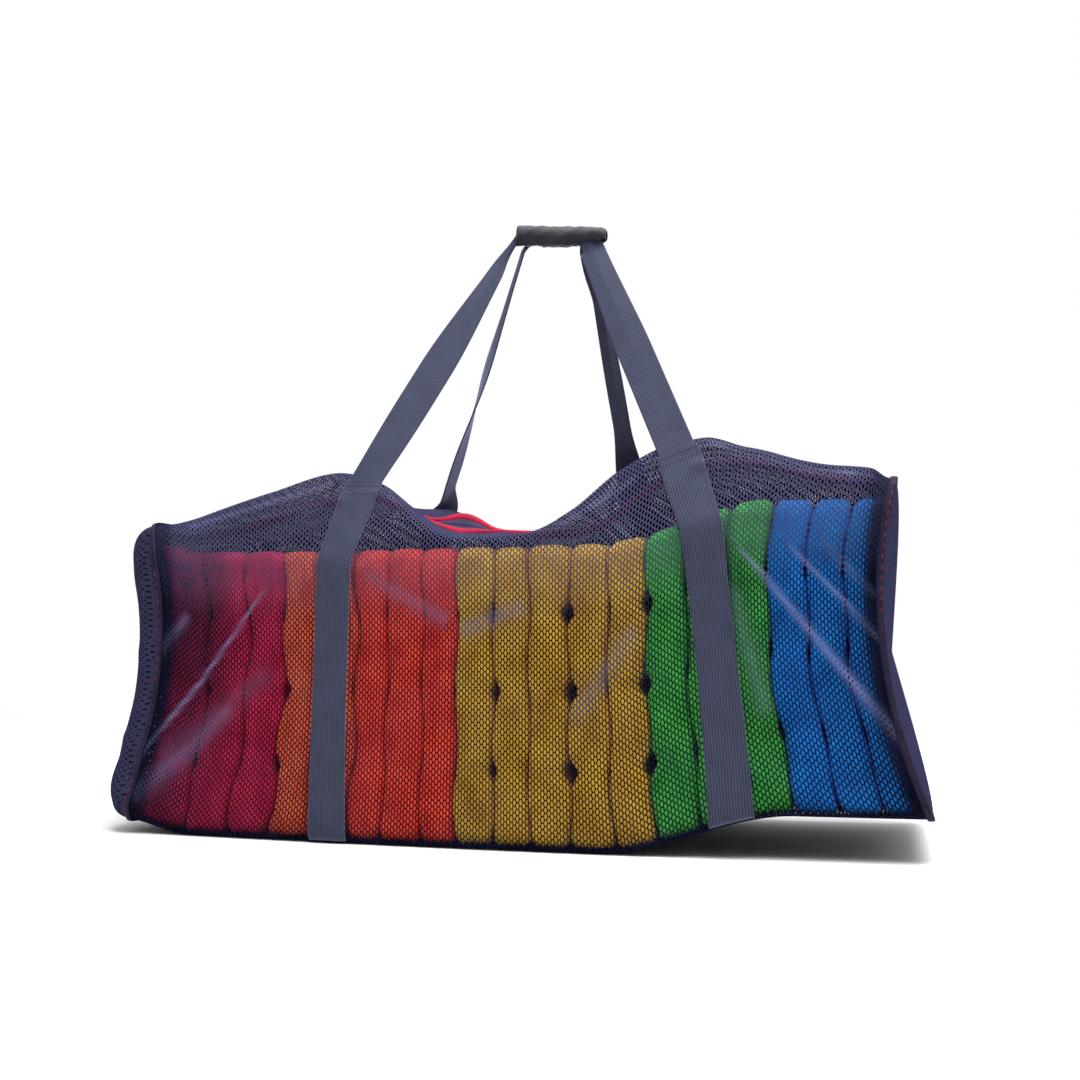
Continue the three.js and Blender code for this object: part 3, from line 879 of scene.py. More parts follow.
# Padded nylon of the grip, charcoal with a faint pale sheen.
GRIP_CLOTH = Cloth(
    "padded_nylon", "0a0b0f", "22242b", roughness=0.6, sheen_tint="f0f0ff",
    blotch_mm=25.0, weave_mm=1.6, weave_depth_mm=0.2, weave_shade=0.3, specular=0.25,
)
# Woven zip tape, a very dark violet.
ZIP_TAPE = Cloth(
    "polyester_zip_tape", "161226", "352c54", roughness=0.65, sheen_tint="b0a0e0",
    blotch_mm=30.0, weave_mm=1.2, weave_depth_mm=0.15, weave_shade=0.3,
)
# Red tape rolled along the zip's edges.
ZIP_EDGING = Cloth(
    "red_edging_tape", "7e0e2a", "c41f40", sheen=0.15, sheen_tint="ff90b0",
    blotch_mm=30.0, weave_mm=1.2, weave_depth_mm=0.15, weave_shade=0.3,
)
# Nylon zip coil, dark and smoother than the tape.
ZIP_COIL = Cloth(
    "nylon_zip_coil", "14141c", "2c2c3a", roughness=0.4, sheen=0.1,
    blotch_mm=20.0, weave_mm=1.0, weave_depth_mm=0.05, weave_shade=0.1,
)
# Grosgrain binding tape, nearly black.
BINDING_TAPE = Cloth(
    "grosgrain_binding", "0c0a18", "221b34", roughness=0.75, sheen=0.08, sheen_tint="8080c8",
    blotch_mm=30.0, weave_mm=1.4, weave_depth_mm=0.2, weave_shade=0.35,
)
# Spun polyester sewing thread, red for the bindings.
RED_THREAD = Cloth(
    "red_sewing_thread", "7c0c24", "c42444", roughness=0.65, sheen=0.2, sheen_tint="ffa0b0",
    blotch_mm=20.0, weave_mm=0.6, weave_depth_mm=0.05, weave_shade=0.2,
)
# The same thread in slate for the handles.
SLATE_THREAD = Cloth(
    "slate_sewing_thread", "262835", "4a4d63", roughness=0.6, sheen_tint="c0c0e0",
    blotch_mm=20.0, weave_mm=0.6, weave_depth_mm=0.05, weave_shade=0.2,
)
# Brushed polyester cushion covers, soft and matt, one for each colour of the row.
COVERS = {
    colour: Cloth(f"{colour}_cushion_cover", dark, light, roughness=0.75, sheen=0.15, sheen_tint=tint)
    for colour, dark, light, tint in (
        ("crimson", "a80a34", "e02c56", "ff9fb4"),
        ("orange", "cc3e1e", "f47244", "ffd0a0"),
        ("scarlet", "d82c14", "ff5632", "ffb09a"),
        ("yellow", "b4820e", "e2b634", "fff0b0"),
        ("green", "288628", "52c24e", "b0ffc0"),
        ("blue", "0060b8", "108cf0", "a8d0ff"),
    )
}


def put(
    mesh: bpy.types.Mesh, name: str, material: bpy.types.Material, nodes: tuple[str, ...] = ()
) -> bpy.types.Object:
    """Put a finished mesh in the scene as a piece of the bag.

    Args:
        mesh: the mesh, in the row frame.
        name: the piece's name.
        material: its material.
        nodes: CAD nodes that it stands for.

    Returns:
        The piece.
    """
    mesh.name = name
    mesh.materials.append(material)
    mesh.shade_smooth()
    piece = bpy.data.objects.new(name, mesh)
    bpy.context.scene.collection.objects.link(piece)
    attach(piece, ROOT)
    if nodes:
        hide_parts(*nodes)
    LOG.info("%s: %d faces", name, len(mesh.polygons))
    return piece


def write_map(mesh: bpy.types.Mesh, name: str, places: np.ndarray) -> None:
    """Write a map from one place for each vertex.

    Args:
        mesh: the mesh.
        name: the map's name.
        places: a pair of numbers for each vertex.
    """
    corners = np.empty(len(mesh.loops), dtype=np.int32)
    mesh.loops.foreach_get("vertex_index", corners)
    layer = mesh.uv_layers.new(name=name)
    layer.data.foreach_set("uv", places[corners].astype(np.float32).ravel())


def swept(rings: list[np.ndarray], closed: bool = False) -> bpy.types.Mesh:
    """Extrude a closed section from ring to ring.

    Args:
        rings: points of each section, in metres of the row frame.
        closed: whether the last ring joins the first, which otherwise are filled.

    Returns:
        The mesh, with its vertices in the order of the rings.
    """
    form = bmesh.new()
    verts = [form.verts.new(point) for point in rings[0]]
    edges = [form.edges.new((verts[k - 1], verts[k])) for k in range(len(verts))]
    if not closed:
        bmesh.ops.edgeloop_fill(form, edges=edges)
    for ring in rings[1:] + (rings[:1] if closed else []):
        made = bmesh.ops.extrude_edge_only(form, edges=edges)["geom"]
        fresh = {item for item in made if isinstance(item, bmesh.types.BMVert)}
        verts = [next(e.other_vert(v) for e in v.link_edges if e.other_vert(v) in fresh) for v in verts]
        for vert, point in zip(verts, ring):
            vert.co = point
        edges = [form.edges.get((verts[k - 1], verts[k])) for k in range(len(verts))]
    if closed:
        bmesh.ops.remove_doubles(form, verts=form.verts[:], dist=MERGE_AT)
    else:
        bmesh.ops.edgeloop_fill(form, edges=edges)
    bmesh.ops.recalc_face_normals(form, faces=form.faces[:])
    mesh = bpy.data.meshes.new("swept")
    form.to_mesh(mesh)
    form.free()
    return mesh


def stitches(
    at: np.ndarray, along: np.ndarray, out: np.ndarray, length: float, thick: float
) -> bpy.types.Mesh:
    """Many stitches as one mesh, each a slim bead lying on the cloth.

    Args:
        at: their middles, in millimetres of the bag's own frame.
        along: the way each one runs.
        out: the way out of the cloth at each.
        length: how long a stitch is.
        thick: how thick its thread is.

    Returns:
        The mesh.
    """
    side = np.cross(along, out)
    ends = [along * length / 2, side * thick / 2, -along * length / 2, -side * thick / 2]
    corners = np.stack([at + move for move in ends] + [at + out * thick / 2, at - out * thick / 2], axis=1)
    roof = [(0, 1, 4), (1, 2, 4), (2, 3, 4), (3, 0, 4), (1, 0, 5), (2, 1, 5), (3, 2, 5), (0, 3, 5)]
    faces = (np.arange(len(at))[:, None, None] * corners.shape[1] + np.array(roof)[None]).reshape(-1, 3)
    mesh = bpy.data.meshes.new("stitches")
    mesh.from_pydata(in_row(corners.reshape(-1, 3)).tolist(), [], faces.tolist())
    return mesh


def twice_area(points: np.ndarray, faces: np.ndarray) -> np.ndarray:
    """Twice the area of each face, from two of its edges or from its two diagonals.

    Args:
        points: the points.
        faces: three or four numbers of points for each face.

    Returns:
        One number for each face.
    """
    a, b, c, d = (0, 1, 0, 2) if faces.shape[1] == 3 else (0, 2, 1, 3)
    first = points[faces[:, b]] - points[faces[:, a]]
    second = points[faces[:, d]] - points[faces[:, c]]
    return np.linalg.norm(np.cross(first, second), axis=1)


class NetPatch(NamedTuple):
    """A piece of net: its points, its faces of four and of three, its flat places and painted sheen."""

    points: np.ndarray
    fours: np.ndarray
    threes: np.ndarray
    flat: np.ndarray
    shine: np.ndarray


@dataclass
class Net:
    """Knitted net of tall six-sided holes, drawn in its yarn.

    Sizes are in millimetres. A pull is the share by which holes are shut, a shine the share of
    painted sheen on the yarn. A pair called over is where a pull or a shine starts and where it is
    whole: heights, or distances from a seam or from the front's ridge.
    """

    form: BagForm
    half_wide: float = 2.9
    half_top: float = 1.15
    yarn: float = 1.65
    shorten: float = 0.4
    least_face: float = 2e-8
    most_pull: float = 0.92
    fold_pull: float = 0.7
    end_pull: float = 0.2
    end_over: tuple[float, float] = (380.0, 500.0)
    seam_pull: float = 0.65
    seam_over: tuple[float, float] = (18.0, 8.0)
    base_pull: float = 0.85
    base_over: tuple[float, float] = (11.0, 3.0)
    corner_pull: float = 0.22
    corner_along: tuple[float, float] = (365.0, 450.0)
    corner_up: tuple[float, float] = (110.0, 270.0)
    slope_over: tuple[float, float] = (390.0, 425.0)
    front_slope_pull: float = 0.15
    top_pull: float = 0.8
    top_over: tuple[float, float] = (2.0, -12.0)
    back_slope_pull: float = 0.89
    back_slope_over: tuple[float, float] = (355.0, 375.0)
    panel_pull: float = 0.92
    wander: float = 0.06
    wander_along: tuple[float, float] = (31.0, 83.0)
    wander_round: tuple[float, float] = (47.0, 23.0)
    wander_bend: float = 1.7
    # painted sheen on the slopes and on the brow of the front
    slope_painted_sheen: float = 0.12
    brow_painted_sheen: float = 0.14
    brow_over: tuple[float, float] = (290.0, 380.0)
    wall_from: float = 5.0
    wall_over: tuple[float, float] = (-10.0, 4.0)
    # painted sheen taken off near the end seams
    seam_dull: float = 0.7
    dull_over: tuple[float, float] = (34.0, 12.0)
    # painted sheen all over the end panels
    panel_painted_sheen: float = 0.1
    foot_row: int = 22
    crest_row: int = 78
    panel_inset: float = 2.0
    panel_power: int = 5
    bulge_left: float = 70.0
    bulge_right: float = 10.0

    def hole(self) -> np.ndarray:
        """One hole's corners round its middle, from the right one anticlockwise.

        Returns:
            Six places.
        """
        slant = np.array([self.half_wide - self.half_top, NET_ROW / 2])
        across = np.array([slant[1], slant[0]]) / np.linalg.norm(slant)
        wide = self.half_wide - self.yarn / 2 / across[0]
        high = NET_ROW / 2 - self.yarn / 2
        top = (self.half_wide * across[0] - self.yarn / 2 - across[1] * high) / across[0]
        return np.array([(wide, 0), (top, high), (-top, high), (-wide, 0), (-top, -high), (top, -high)])

    def unevenness(self, x: np.ndarray, s: np.ndarray) -> np.ndarray:
        """How the pull of a slope wanders.

        Args:
            x: places along the bag.
            s: places round the section.

        Returns:
            What the pull gains or loses at each place.
        """
        bend = self.wander_bend * np.sin(s / self.wander_round[0])
        first = np.sin(x / self.wander_along[0] + bend)
        return self.wander * first * np.sin(s / self.wander_round[1] + x / self.wander_along[1])

    def body_pull(self, flat: np.ndarray) -> tuple[np.ndarray, np.ndarray]:
        """How the body net's holes are shut at its ends, base, slopes and folds, and its painted sheen on
        folds, slopes and brow.

        Args:
            flat: places of the net.

        Returns:
            The share by which holes are shut and the share of painted sheen, at each place.
        """
        form = self.form
        x, s = flat[..., 0], flat[..., 1]
        y, height = form.section_point(x, s)
        in_front = s > 0
        beyond_ridge = -y - form.ridge_depth(x, Side.FRONT)
        to_seam = np.minimum(x - form.left, form.right - x)
        on_wall = in_front * (height > self.wall_from) * ease(beyond_ridge, *self.wall_over)
        folds = on_wall * form.folds(x, height)[1]
        up = ease(height, *self.slope_over)
        top = self.top_pull * ease(beyond_ridge, *self.top_over)
        back = self.back_slope_pull * ease(height, *self.back_slope_over)
        slope = np.where(in_front, np.maximum(self.front_slope_pull, top) * up, back)
        corner = ease(-x, *self.corner_along) * ease(height, *self.corner_up) * in_front
        shut = (
            self.fold_pull * folds
            + self.end_pull * ease(np.abs(x), *self.end_over)
            + self.seam_pull * ease(to_seam, *self.seam_over)
            + self.base_pull * ease(height, *self.base_over)
            + self.corner_pull * corner
            + slope + self.unevenness(x, s) * (slope > 0)
        )
        # Painted sheen on the folds, the slopes and the brow of the front, less near the end seams.
        brow = self.brow_painted_sheen * ease(height, *self.brow_over) * in_front
        shine = np.maximum(folds, np.maximum(self.slope_painted_sheen * up, brow))
        dull = self.seam_dull * ease(to_seam, *self.dull_over)
        return np.clip(shut, 0.0, self.most_pull), shine * (1.0 - dull)

    def end_panel_pull(self, flat: np.ndarray) -> tuple[np.ndarray, np.ndarray]:
        """The same even pull and painted sheen all over an end panel."""
        return np.full(flat.shape[:-1], self.panel_pull), np.full(flat.shape[:-1], self.panel_painted_sheen)

    def patch(
        self,
        low: np.ndarray,
        high: np.ndarray,
        lay: Callable[[np.ndarray], np.ndarray],
        pull: Callable[[np.ndarray], tuple[np.ndarray, np.ndarray]],
    ) -> NetPatch:
        """The yarn round every hole of a rectangle, laid on a surface.

        Args:
            low: the rectangle's lowest place.
            high: its highest place.
            lay: gives the points of the surface, in metres, for places of the net.
            pull: gives how far holes are shut and how much painted sheen the yarn gets there.

        Returns:
            The patch, without the faces that the surface's edge cuts away.
        """
        pitch = np.array([NET_COLUMN, NET_ROW])
        first = np.floor(low / pitch).astype(int) - 1
        last = np.ceil(high / pitch).astype(int) + 2
        i, j = np.meshgrid(np.arange(first[0], last[0]), np.arange(first[1], last[1]), indexing="ij")
        middles = np.stack([i * NET_COLUMN, (j + 0.5 * (i % 2)) * NET_ROW], axis=-1)
        shut, shine = pull(middles)
        narrowed = np.stack([1 - shut, 1 - self.shorten * shut], axis=-1)[:, :, None]
        hole = self.hole()
        flat = np.clip((middles[:, :, None] + hole * narrowed).reshape(-1, 2), low, high)
        rows = i.shape[1]
        c = np.arange(i.size).reshape(i.shape)[1:-1, :-1].ravel()
        odd = (i[1:-1, :-1].ravel() % 2).astype(int)
        n, ne, nw = c + 1, c + rows + odd, c - rows + odd

        def faces(*corners: tuple[np.ndarray, int]) -> np.ndarray:
            """Faces, by the hole and the number of the hole's corner for each of their points."""
            return np.stack([cell * len(hole) + k for cell, k in corners], axis=1)

        fours = np.concatenate([
            faces((c, 2), (c, 1), (n, 5), (n, 4)),
            faces((c, 1), (c, 0), (ne, 4), (ne, 3)),
            faces((c, 3), (c, 2), (nw, 0), (nw, 5)),
        ])
        threes = np.concatenate([faces((c, 1), (ne, 3), (n, 5)), faces((c, 2), (n, 4), (nw, 0))])
        return self.trimmed(NetPatch(lay(flat), fours, threes, flat, np.repeat(shine.ravel(), len(hole))))

    def trimmed(self, whole: NetPatch) -> NetPatch:
        """A patch without faces of no size and points of no face.

        Args:
            whole: the patch with all of them.

        Returns:
            What is left.
        """
        fours, threes = (
            faces[twice_area(whole.points, faces) > self.least_face] for faces in (whole.fours, whole.threes)
        )
        used = np.unique(np.concatenate([fours.ravel(), threes.ravel()]))
        number = np.zeros(len(whole.points), dtype=int)
        number[used] = np.arange(len(used))
        points, flat, shine = (each[used] for each in (whole.points, whole.flat, whole.shine))
        return NetPatch(points, number[fours], number[threes], flat, shine)

    @staticmethod
    def yarn_area(patch: NetPatch) -> float:
        """Flat area of a patch's yarn, in square metres.

        Args:
            patch: the patch.

        Returns:
            The area.
        """
        flat = np.pad(patch.flat * MM, ((0, 0), (0, 1)))
        return float(sum(twice_area(flat, faces).sum() for faces in (patch.fours, patch.threes)) / 2)

    def dress(
        self, patch: NetPatch, name: str, node: str, material: bpy.types.Material
    ) -> bpy.types.Object:
        """Put a patch in the scene as a sheet of net.

        Args:
            patch: the patch.
            name: the piece's name.
            node: the CAD node that it stands for, or is part of.
            material: the yarn's material.

        Returns:
            The piece.
        """
        mesh = bpy.data.meshes.new(name)
        mesh.from_pydata(patch.points.tolist(), [], patch.fours.tolist() + patch.threes.tolist())
        low, high = patch.flat.min(axis=0), patch.flat.max(axis=0)
        write_map(mesh, BAKE_MAP, BAKE_EDGE + (1 - 2 * BAKE_EDGE) * (patch.flat - low) / (high - low).max())
        write_map(mesh, RUN_MAP, patch.flat * MM)
        # the share of painted sheen, read by the yarn's material
        shine = mesh.attributes.new(PAINTED_SHEEN, "FLOAT", "POINT")
        shine.data.foreach_set("value", patch.shine.astype(np.float32))
        piece = put(mesh, name, material, (node,))
        self.yarn_area(patch)
        return piece

    def body(self, material: bpy.types.Material) -> None:
        """Build the body net in five patches: base, front, back and the two halves of the top.

        Args:
            material: the yarn's material.
        """
        form = self.form
        foot, crest = self.foot_row * NET_ROW, self.crest_row * NET_ROW
        end = form.longest - 2 * form.step

        def lay(flat: np.ndarray) -> np.ndarray:
            """Points of the body net, in metres of the row frame, for its places."""
            return in_row(form.surface(flat[:, 0], flat[:, 1]))

        for name, low, high in (
            ("net_base", -foot, foot),
            ("net_front", foot, crest),
            ("net_back", -crest, -foot),
            ("net_top_front", crest, end),
            ("net_top_back", -end, -crest),
        ):
            patch = self.patch(np.array([form.left, low]), np.array([form.right, high]), lay, self.body_pull)
            self.dress(patch, name, "body_net", material)

    def end(self, end: End, material: bpy.types.Material) -> None:
        """Build the puffed panel of net at one end.

        Args:
            end: which end.
            material: the yarn's material.
        """
        form = self.form
        on_left = end is End.LEFT
        x, bulge = (form.left, self.bulge_left) if on_left else (form.right, self.bulge_right)
        middle_z = form.shoulder_z / 2
        rim = form.rim(x) - np.array([0.0, middle_z])
        turn = np.arctan2(rim[:, 1], rim[:, 0])
        order = np.argsort(turn)
        reach = np.hypot(rim[:, 0], rim[:, 1]) - self.panel_inset

        def lay(flat: np.ndarray) -> np.ndarray:
            """Points of the puffed panel for places of its net.

            Args:
                flat: places across and up the panel from its middle.

            Returns:
                Points in metres of the row frame.
            """
            y = flat[:, 0] * end.value
            angle = np.arctan2(flat[:, 1], y)
            edge = np.interp(angle, turn[order], reach[order], period=2 * math.pi)
            share = np.minimum(np.hypot(y, flat[:, 1]) / edge, 1.0)
            py, pz = share * edge * np.cos(angle), share * edge * np.sin(angle)
            rim_x = form.flare(np.full_like(y, x), edge * np.sin(angle) + middle_z)
            mid_x = form.flare(np.full_like(y, x), np.full_like(y, middle_z))
            out = end.value * bulge * np.sqrt(np.maximum(1 - share**self.panel_power, 0.0))
            points = form.place(np.full_like(y, x), py, pz + middle_z)
            points[:, 0] = x + mid_x + share * (rim_x - mid_x) + out + end.value * SEAM_SHIFT
            return in_row(points)

        wide, high = np.abs(rim[:, 0]).max(), np.abs(rim[:, 1]).max()
        patch = self.patch(np.array([-wide, -high]), np.array([wide, high]), lay, self.end_panel_pull)
        name = end.name.lower()
        self.dress(patch, f"net_end_{name}", f"end_net_{name}", material)


@dataclass
class Cushion:
    """One square foam cushion in its sewn cover, standing on edge. Sizes in millimetres."""

    form: BagForm
    number: int
    colour: str
    left: float
    room: float
    gap: float = 0.8
    corner: float = 22.0
    corner_cuts: int = 6
    edge: float = 7.0
    edge_cuts: int = 3
    rim_share: float = 0.99
    level_clear: tuple[float, float] = (1.2, 1.1)
    level_step: float = 6.5
    depth_cuts: tuple[float, ...] = (-180.0, -160.0, -110.0, -40.0, 40.0, 110.0, 160.0, 180.0)
    across_cuts: tuple[float, ...] = (-0.22, 0.0, 0.22)
    crown: float = 5.0
    crown_power: int = 6
    set_back_most: float = 2.5
    seed: int = 100
    wave_seed: int = 300
    wave_deep: float = 2.6
    wave_tall: float = 150.0
    wrinkle: float = 1.8
    wrinkle_waves: tuple[float, float, float] = (4.0, 7.0, 11.0)
    wrinkle_shift: float = 6.0
    loose: float = 1.8
    loose_seams: int = 6
    loose_cushions: int = 5
    channels: tuple[float, ...] = (0.25, 0.51, 0.77)
    notch_deep: float = 9.0
    notch_tall: float = 13.0
    notch_inwards: float = 4.0
    end_draw: float = 2.0
    end_power: int = 10
    rim_from: float = 0.9
    top_from: float = 0.93
    top_crown: float = 4.0
    top_power: int = 4
    lift: float = 1.1

    def build(self, material: bpy.types.Material) -> bpy.types.Object:
        """Model the cushion and put it in its place in the row.

        Args:
            material: its cover.

        Returns:
            The piece.
        """
        side, thick = self.form.cushion_side, self.room - self.gap
        form = bmesh.new()
        bmesh.ops.create_cube(form, size=1.0)
        bmesh.ops.scale(form, vec=(thick, side, side), verts=form.verts[:])
        corners = [e for e in form.edges if abs(e.verts[0].co.x - e.verts[1].co.x) > thick / 2]
        self.round(form, corners, self.corner, self.corner_cuts)
        rims = [e for e in form.edges if abs(e.verts[0].co.x + e.verts[1].co.x) > self.rim_share * thick]
        self.round(form, rims, self.edge, self.edge_cuts)
        low, high = (clear * self.corner for clear in self.level_clear)
        for height in np.arange(-side / 2 + low, side / 2 - high, self.level_step):
            self.slice(form, (0, 0, height), (0, 0, 1))
        for depth in self.depth_cuts:
            self.slice(form, (0, depth, 0), (0, 1, 0))
        for across in self.across_cuts:
            self.slice(form, (across * thick, 0, 0), (1, 0, 0))
        self.shape(form, side, thick)
        mesh = bpy.data.meshes.new("cushion")
        form.to_mesh(mesh)
        form.free()
        name = f"cushion_{self.number:02d}"
        piece = put(mesh, f"padded_{name}", material, (name,))
        return piece

    @staticmethod
    def round(form: bmesh.types.BMesh, edges: list[bmesh.types.BMEdge], radius: float, cuts: int) -> None:
        """Round some edges off.

        Args:
            form: the cushion.
            edges: its edges to round.
            radius: how far.
            cuts: in how many facets.
        """
        bmesh.ops.bevel(
            form, geom=edges, offset=radius, offset_type="OFFSET", segments=cuts,
            profile=0.5, affect="EDGES", material=-1,
        )

    @staticmethod
    def slice(
        form: bmesh.types.BMesh, at: tuple[float, float, float], way: tuple[float, float, float]
    ) -> None:
        """Cut a loop of edges round the cushion where a plane meets it."""
        geom = form.verts[:] + form.edges[:] + form.faces[:]
        bmesh.ops.bisect_plane(form, geom=geom, dist=1e-5, plane_co=at, plane_no=way)

    def sway(self, up: np.ndarray, across: np.ndarray) -> np.ndarray:
        """How far the soft row sways sideways, the same for both cushions at a seam.

        Args:
            up: heights from the cushion's middle.
            across: places across the cushion from -1 to 1.

        Returns:
            The sideways move of each place.
        """
        lines = []
        for seam in (self.number - 1, self.number):
            start = np.random.default_rng(self.wave_seed + seam).random()
            inside = 0 < seam < len(CUSHION_ROW)
            deep = self.wave_deep * (self.loose if seam < self.loose_seams else 1.0) * inside
            lines.append(deep * np.sin(2 * math.pi * (up / self.wave_tall + start)))
        return lines[0] * (1 - across) / 2 + lines[1] * (1 + across) / 2

    def shape(self, form: bmesh.types.BMesh, side: float, thick: float) -> None:
        """Crown the cushion, draw in its sewn channels and set it in the load.

        Args:
            form: the cushion as a block round the origin.
            side: its height and depth.
            thick: its thickness.
        """
        rng = np.random.default_rng(self.seed + self.number)
        set_back = rng.uniform(0.0, self.set_back_most)
        p = np.array([vert.co for vert in form.verts])
        up = p[:, 2] / side + 0.5
        across = 2 * p[:, 0] / thick
        drawn = np.zeros(len(p))
        notches = zip(self.channels, SEAM_NOTCHES[self.number - 1], SEAM_NOTCHES[self.number])
        for share, left, right in notches:
            near = np.exp(-(((up - share) * side / self.notch_tall) ** 2))
            drawn += np.where(across < 0, left, right) * near
        ends = np.abs(2 * up - 1) ** self.end_power
        at_rim = ease(np.abs(p[:, 1]) / (side / 2), self.rim_from, 1.0)
        turn = rng.uniform(0.0, self.wrinkle_shift, 3)
        slack = self.wrinkle * (self.loose if self.number < self.loose_cushions else 1.0)
        sideways, upwards, fine = self.wrinkle_waves
        wrinkled = slack * np.sin(sideways * across + upwards * up + turn[0])
        wrinkled = wrinkled * np.sin(fine * up + turn[1] + across)
        crowned = self.crown * across**self.crown_power
        inwards = at_rim * (crowned + self.notch_inwards * drawn + set_back + np.maximum(wrinkled, 0.0))
        x = p[:, 0] - across * (self.notch_deep * drawn + self.end_draw * ends)
        x = x + self.sway(p[:, 2], across)
        y = p[:, 1] - np.sign(p[:, 1]) * inwards
        at_top = ease(up, self.top_from, 1.0)
        z = p[:, 2] + side / 2 - at_top * (self.top_crown * across**self.top_power + set_back)
        middle = self.left + self.room / 2
        placed = self.form.place(middle + x, y, z) + np.array([0.0, 0.0, self.form.foot_z + self.lift])
        for vert, point in zip(form.verts, in_row(placed)):
            vert.co = point


@dataclass
class Handle:
    """One webbing handle: sewn run, free leg, through the grip, free leg and sewn run.

    Sizes are in millimetres. A pair called over is where on a free leg's way up a change starts and
    where it is whole.
    """

    form: BagForm
    side: Side
    width: float = 50.0
    thick: float = 2.4
    off: float = 0.8
    slope_spread: float = 1.06
    grip_width: float = 15.0
    grip_thick: float = 4.0
    square_over: tuple[float, float] = (0.0, 0.3)
    swing_over: tuple[float, float] = (0.8, 1.0)
    narrow_over: tuple[float, float] = (0.45, 1.0)
    crease: float = 3.0
    crease_over: tuple[float, float] = (0.3, 0.8)
    bend_length: float = 30.0
    bend_lean: float = 8.0
    ribs: int = 15
    rib_deep: float = 0.5
    inner_share: float = 0.6
    edge_share: float = 0.3
    stitch_inset: int = 2
    stitch_long: float = 3.4
    stitch_thick: float = 0.9
    stitch_sunk: float = 0.1
    probe: float = 2.0
    sewn_step: float = 6.0
    leg_steps: int = 64
    bend_steps: int = 10

    @property
    def shares(self) -> np.ndarray:
        """Places across the tape from -1 to 1, on the ribs and in the furrows."""
        return np.linspace(-1.0, 1.0, 2 * self.ribs + 1)

    def sewn_run(self, end: End) -> list[Strip]:
        """The length sewn to the net, from its foot to its ridge.

        Args:
            end: which of the handle's two runs.

        Returns:
            Its cross-sections.
        """
        form, run = self.form, SEWN_RUNS[self.side, end]
        foot = form.straight_steps + form.round_steps // 2
        ridge = 3 * form.straight_steps + 2 * form.round_steps
        low = form.corner_run(run.foot, self.side, foot)
        high = form.corner_run(run.ridge, self.side, ridge)
        here = np.array([run.ridge])
        top = float(form.section_point(here, np.array([high * self.side.value]))[1][0])
        strips = []
        for s in np.linspace(low, high, int((high - low) / self.sewn_step)):
            height = float(form.section_point(here, np.array([s * self.side.value]))[1][0])
            on_face = float(np.clip(height / form.bend_z, 0.0, 1.0))
            on_slope = float(np.clip((height - form.bend_z) / (top - form.bend_z), 0.0, 1.0))
            target = run.foot + (run.shoulder - run.foot) * on_face + (run.ridge - run.shoulder) * on_slope
            x = target - float(form.flare(np.array(target), np.array(height)))
            at = self.place_at_height(x, height, s)
            half = self.width / 2 * (1 + (self.slope_spread - 1) * on_slope)
            inner = form.surface(x + self.shares * half, np.full_like(self.shares, at * self.side.value))
            above, below = form.surface(x, (at + np.array([self.probe, -self.probe])) * self.side.value)
            outward = unit(np.cross(inner[-1] - inner[0], above - below)) * self.side.value
            strips.append(Strip(inner + outward * self.off, outward, self.thick))
        return strips

    def place_at_height(self, x: float, height: float, s: float) -> float:
        """Where round the section the run lies at x, by its height above the foot.

        Args:
            x: place along the bag.
            height: height in the section.
            s: the length from the base that serves below the face.

        Returns:
            The length from the middle of the base.
        """
        return s if height < self.form.foot_round else self.form.height_run(x, self.side, height)

    def in_grip(self, x: float, z: float) -> np.ndarray:
        """A point of the tape's middle inside the grip, from the grip's own x and z."""
        return out_of_grip(x, -self.side.value * (self.grip_thick / 2 + self.off), z)

    def free_strip(
        self,
        middle: np.ndarray,
        way: np.ndarray,
        across: np.ndarray,
        width: float,
        thick: float,
        crease: float,
    ) -> Strip:
        """A cross-section square to a way through the air.

        Args:
            middle: the middle of the tape.
            way: the way it runs.
            across: the way across it.
            width: its width there.
            thick: its thickness there.
            crease: how far its middle stands out from its edges.

        Returns:
            The cross-section.
        """
        flat = unit(way - way.dot(across) * across)
        outward = np.cross(across, flat) * self.side.value
        roof = crease * (1 - np.abs(self.shares))[:, None] * outward
        inner = middle + self.shares[:, None] * across * width / 2 - outward * thick / 2 + roof
        return Strip(inner, outward, thick)

    def leg(self, start: Strip, end: End) -> list[Strip]:
        """The free leg from the sewn run's top to the grip, and its bend inside it.

        Args:
            start: the last cross-section of the sewn run.
            end: which leg.

        Returns:
            Its cross-sections.
        """
        entry, sign = GRIP_ENTRIES[self.side, end], end.value
        upright = np.array([math.sin(GRIP_TILT), 0.0, math.cos(GRIP_TILT)]) * sign * self.side.value
        first = start.inner[self.ribs] + start.outward * start.thick / 2
        goal = self.in_grip(entry.x, entry.z)
        along = unit(goal - first)
        across0 = unit(start.inner[-1] - start.inner[0])
        square = unit(across0 - across0.dot(along) * along)
        strips = []
        for t in np.arange(1, self.leg_steps + 1) / self.leg_steps:
            swing = float(ease(t, *self.swing_over))
            turn = sum(twist.turn * float(ease(t, twist.start, twist.end)) for twist in entry.twists)
            across = across0 + (square - across0) * float(ease(t, *self.square_over))
            across = np.array(Matrix.Rotation(math.radians(turn), 3, Vector(along)) @ Vector(across))
            if entry.way is Way.END:
                across = across + (upright - across) * swing
            width = self.width + (entry.width - self.width) * float(ease(t, *self.narrow_over))
            crease = self.crease * float(ease(t, *self.crease_over))
            middle = first + (goal - first) * t
            strips.append(self.free_strip(middle, along, unit(across), width, self.thick, crease))
        if entry.way is Way.UNDERSIDE:
            strips += self.bend(strips[-1], entry, sign, upright)
        return strips

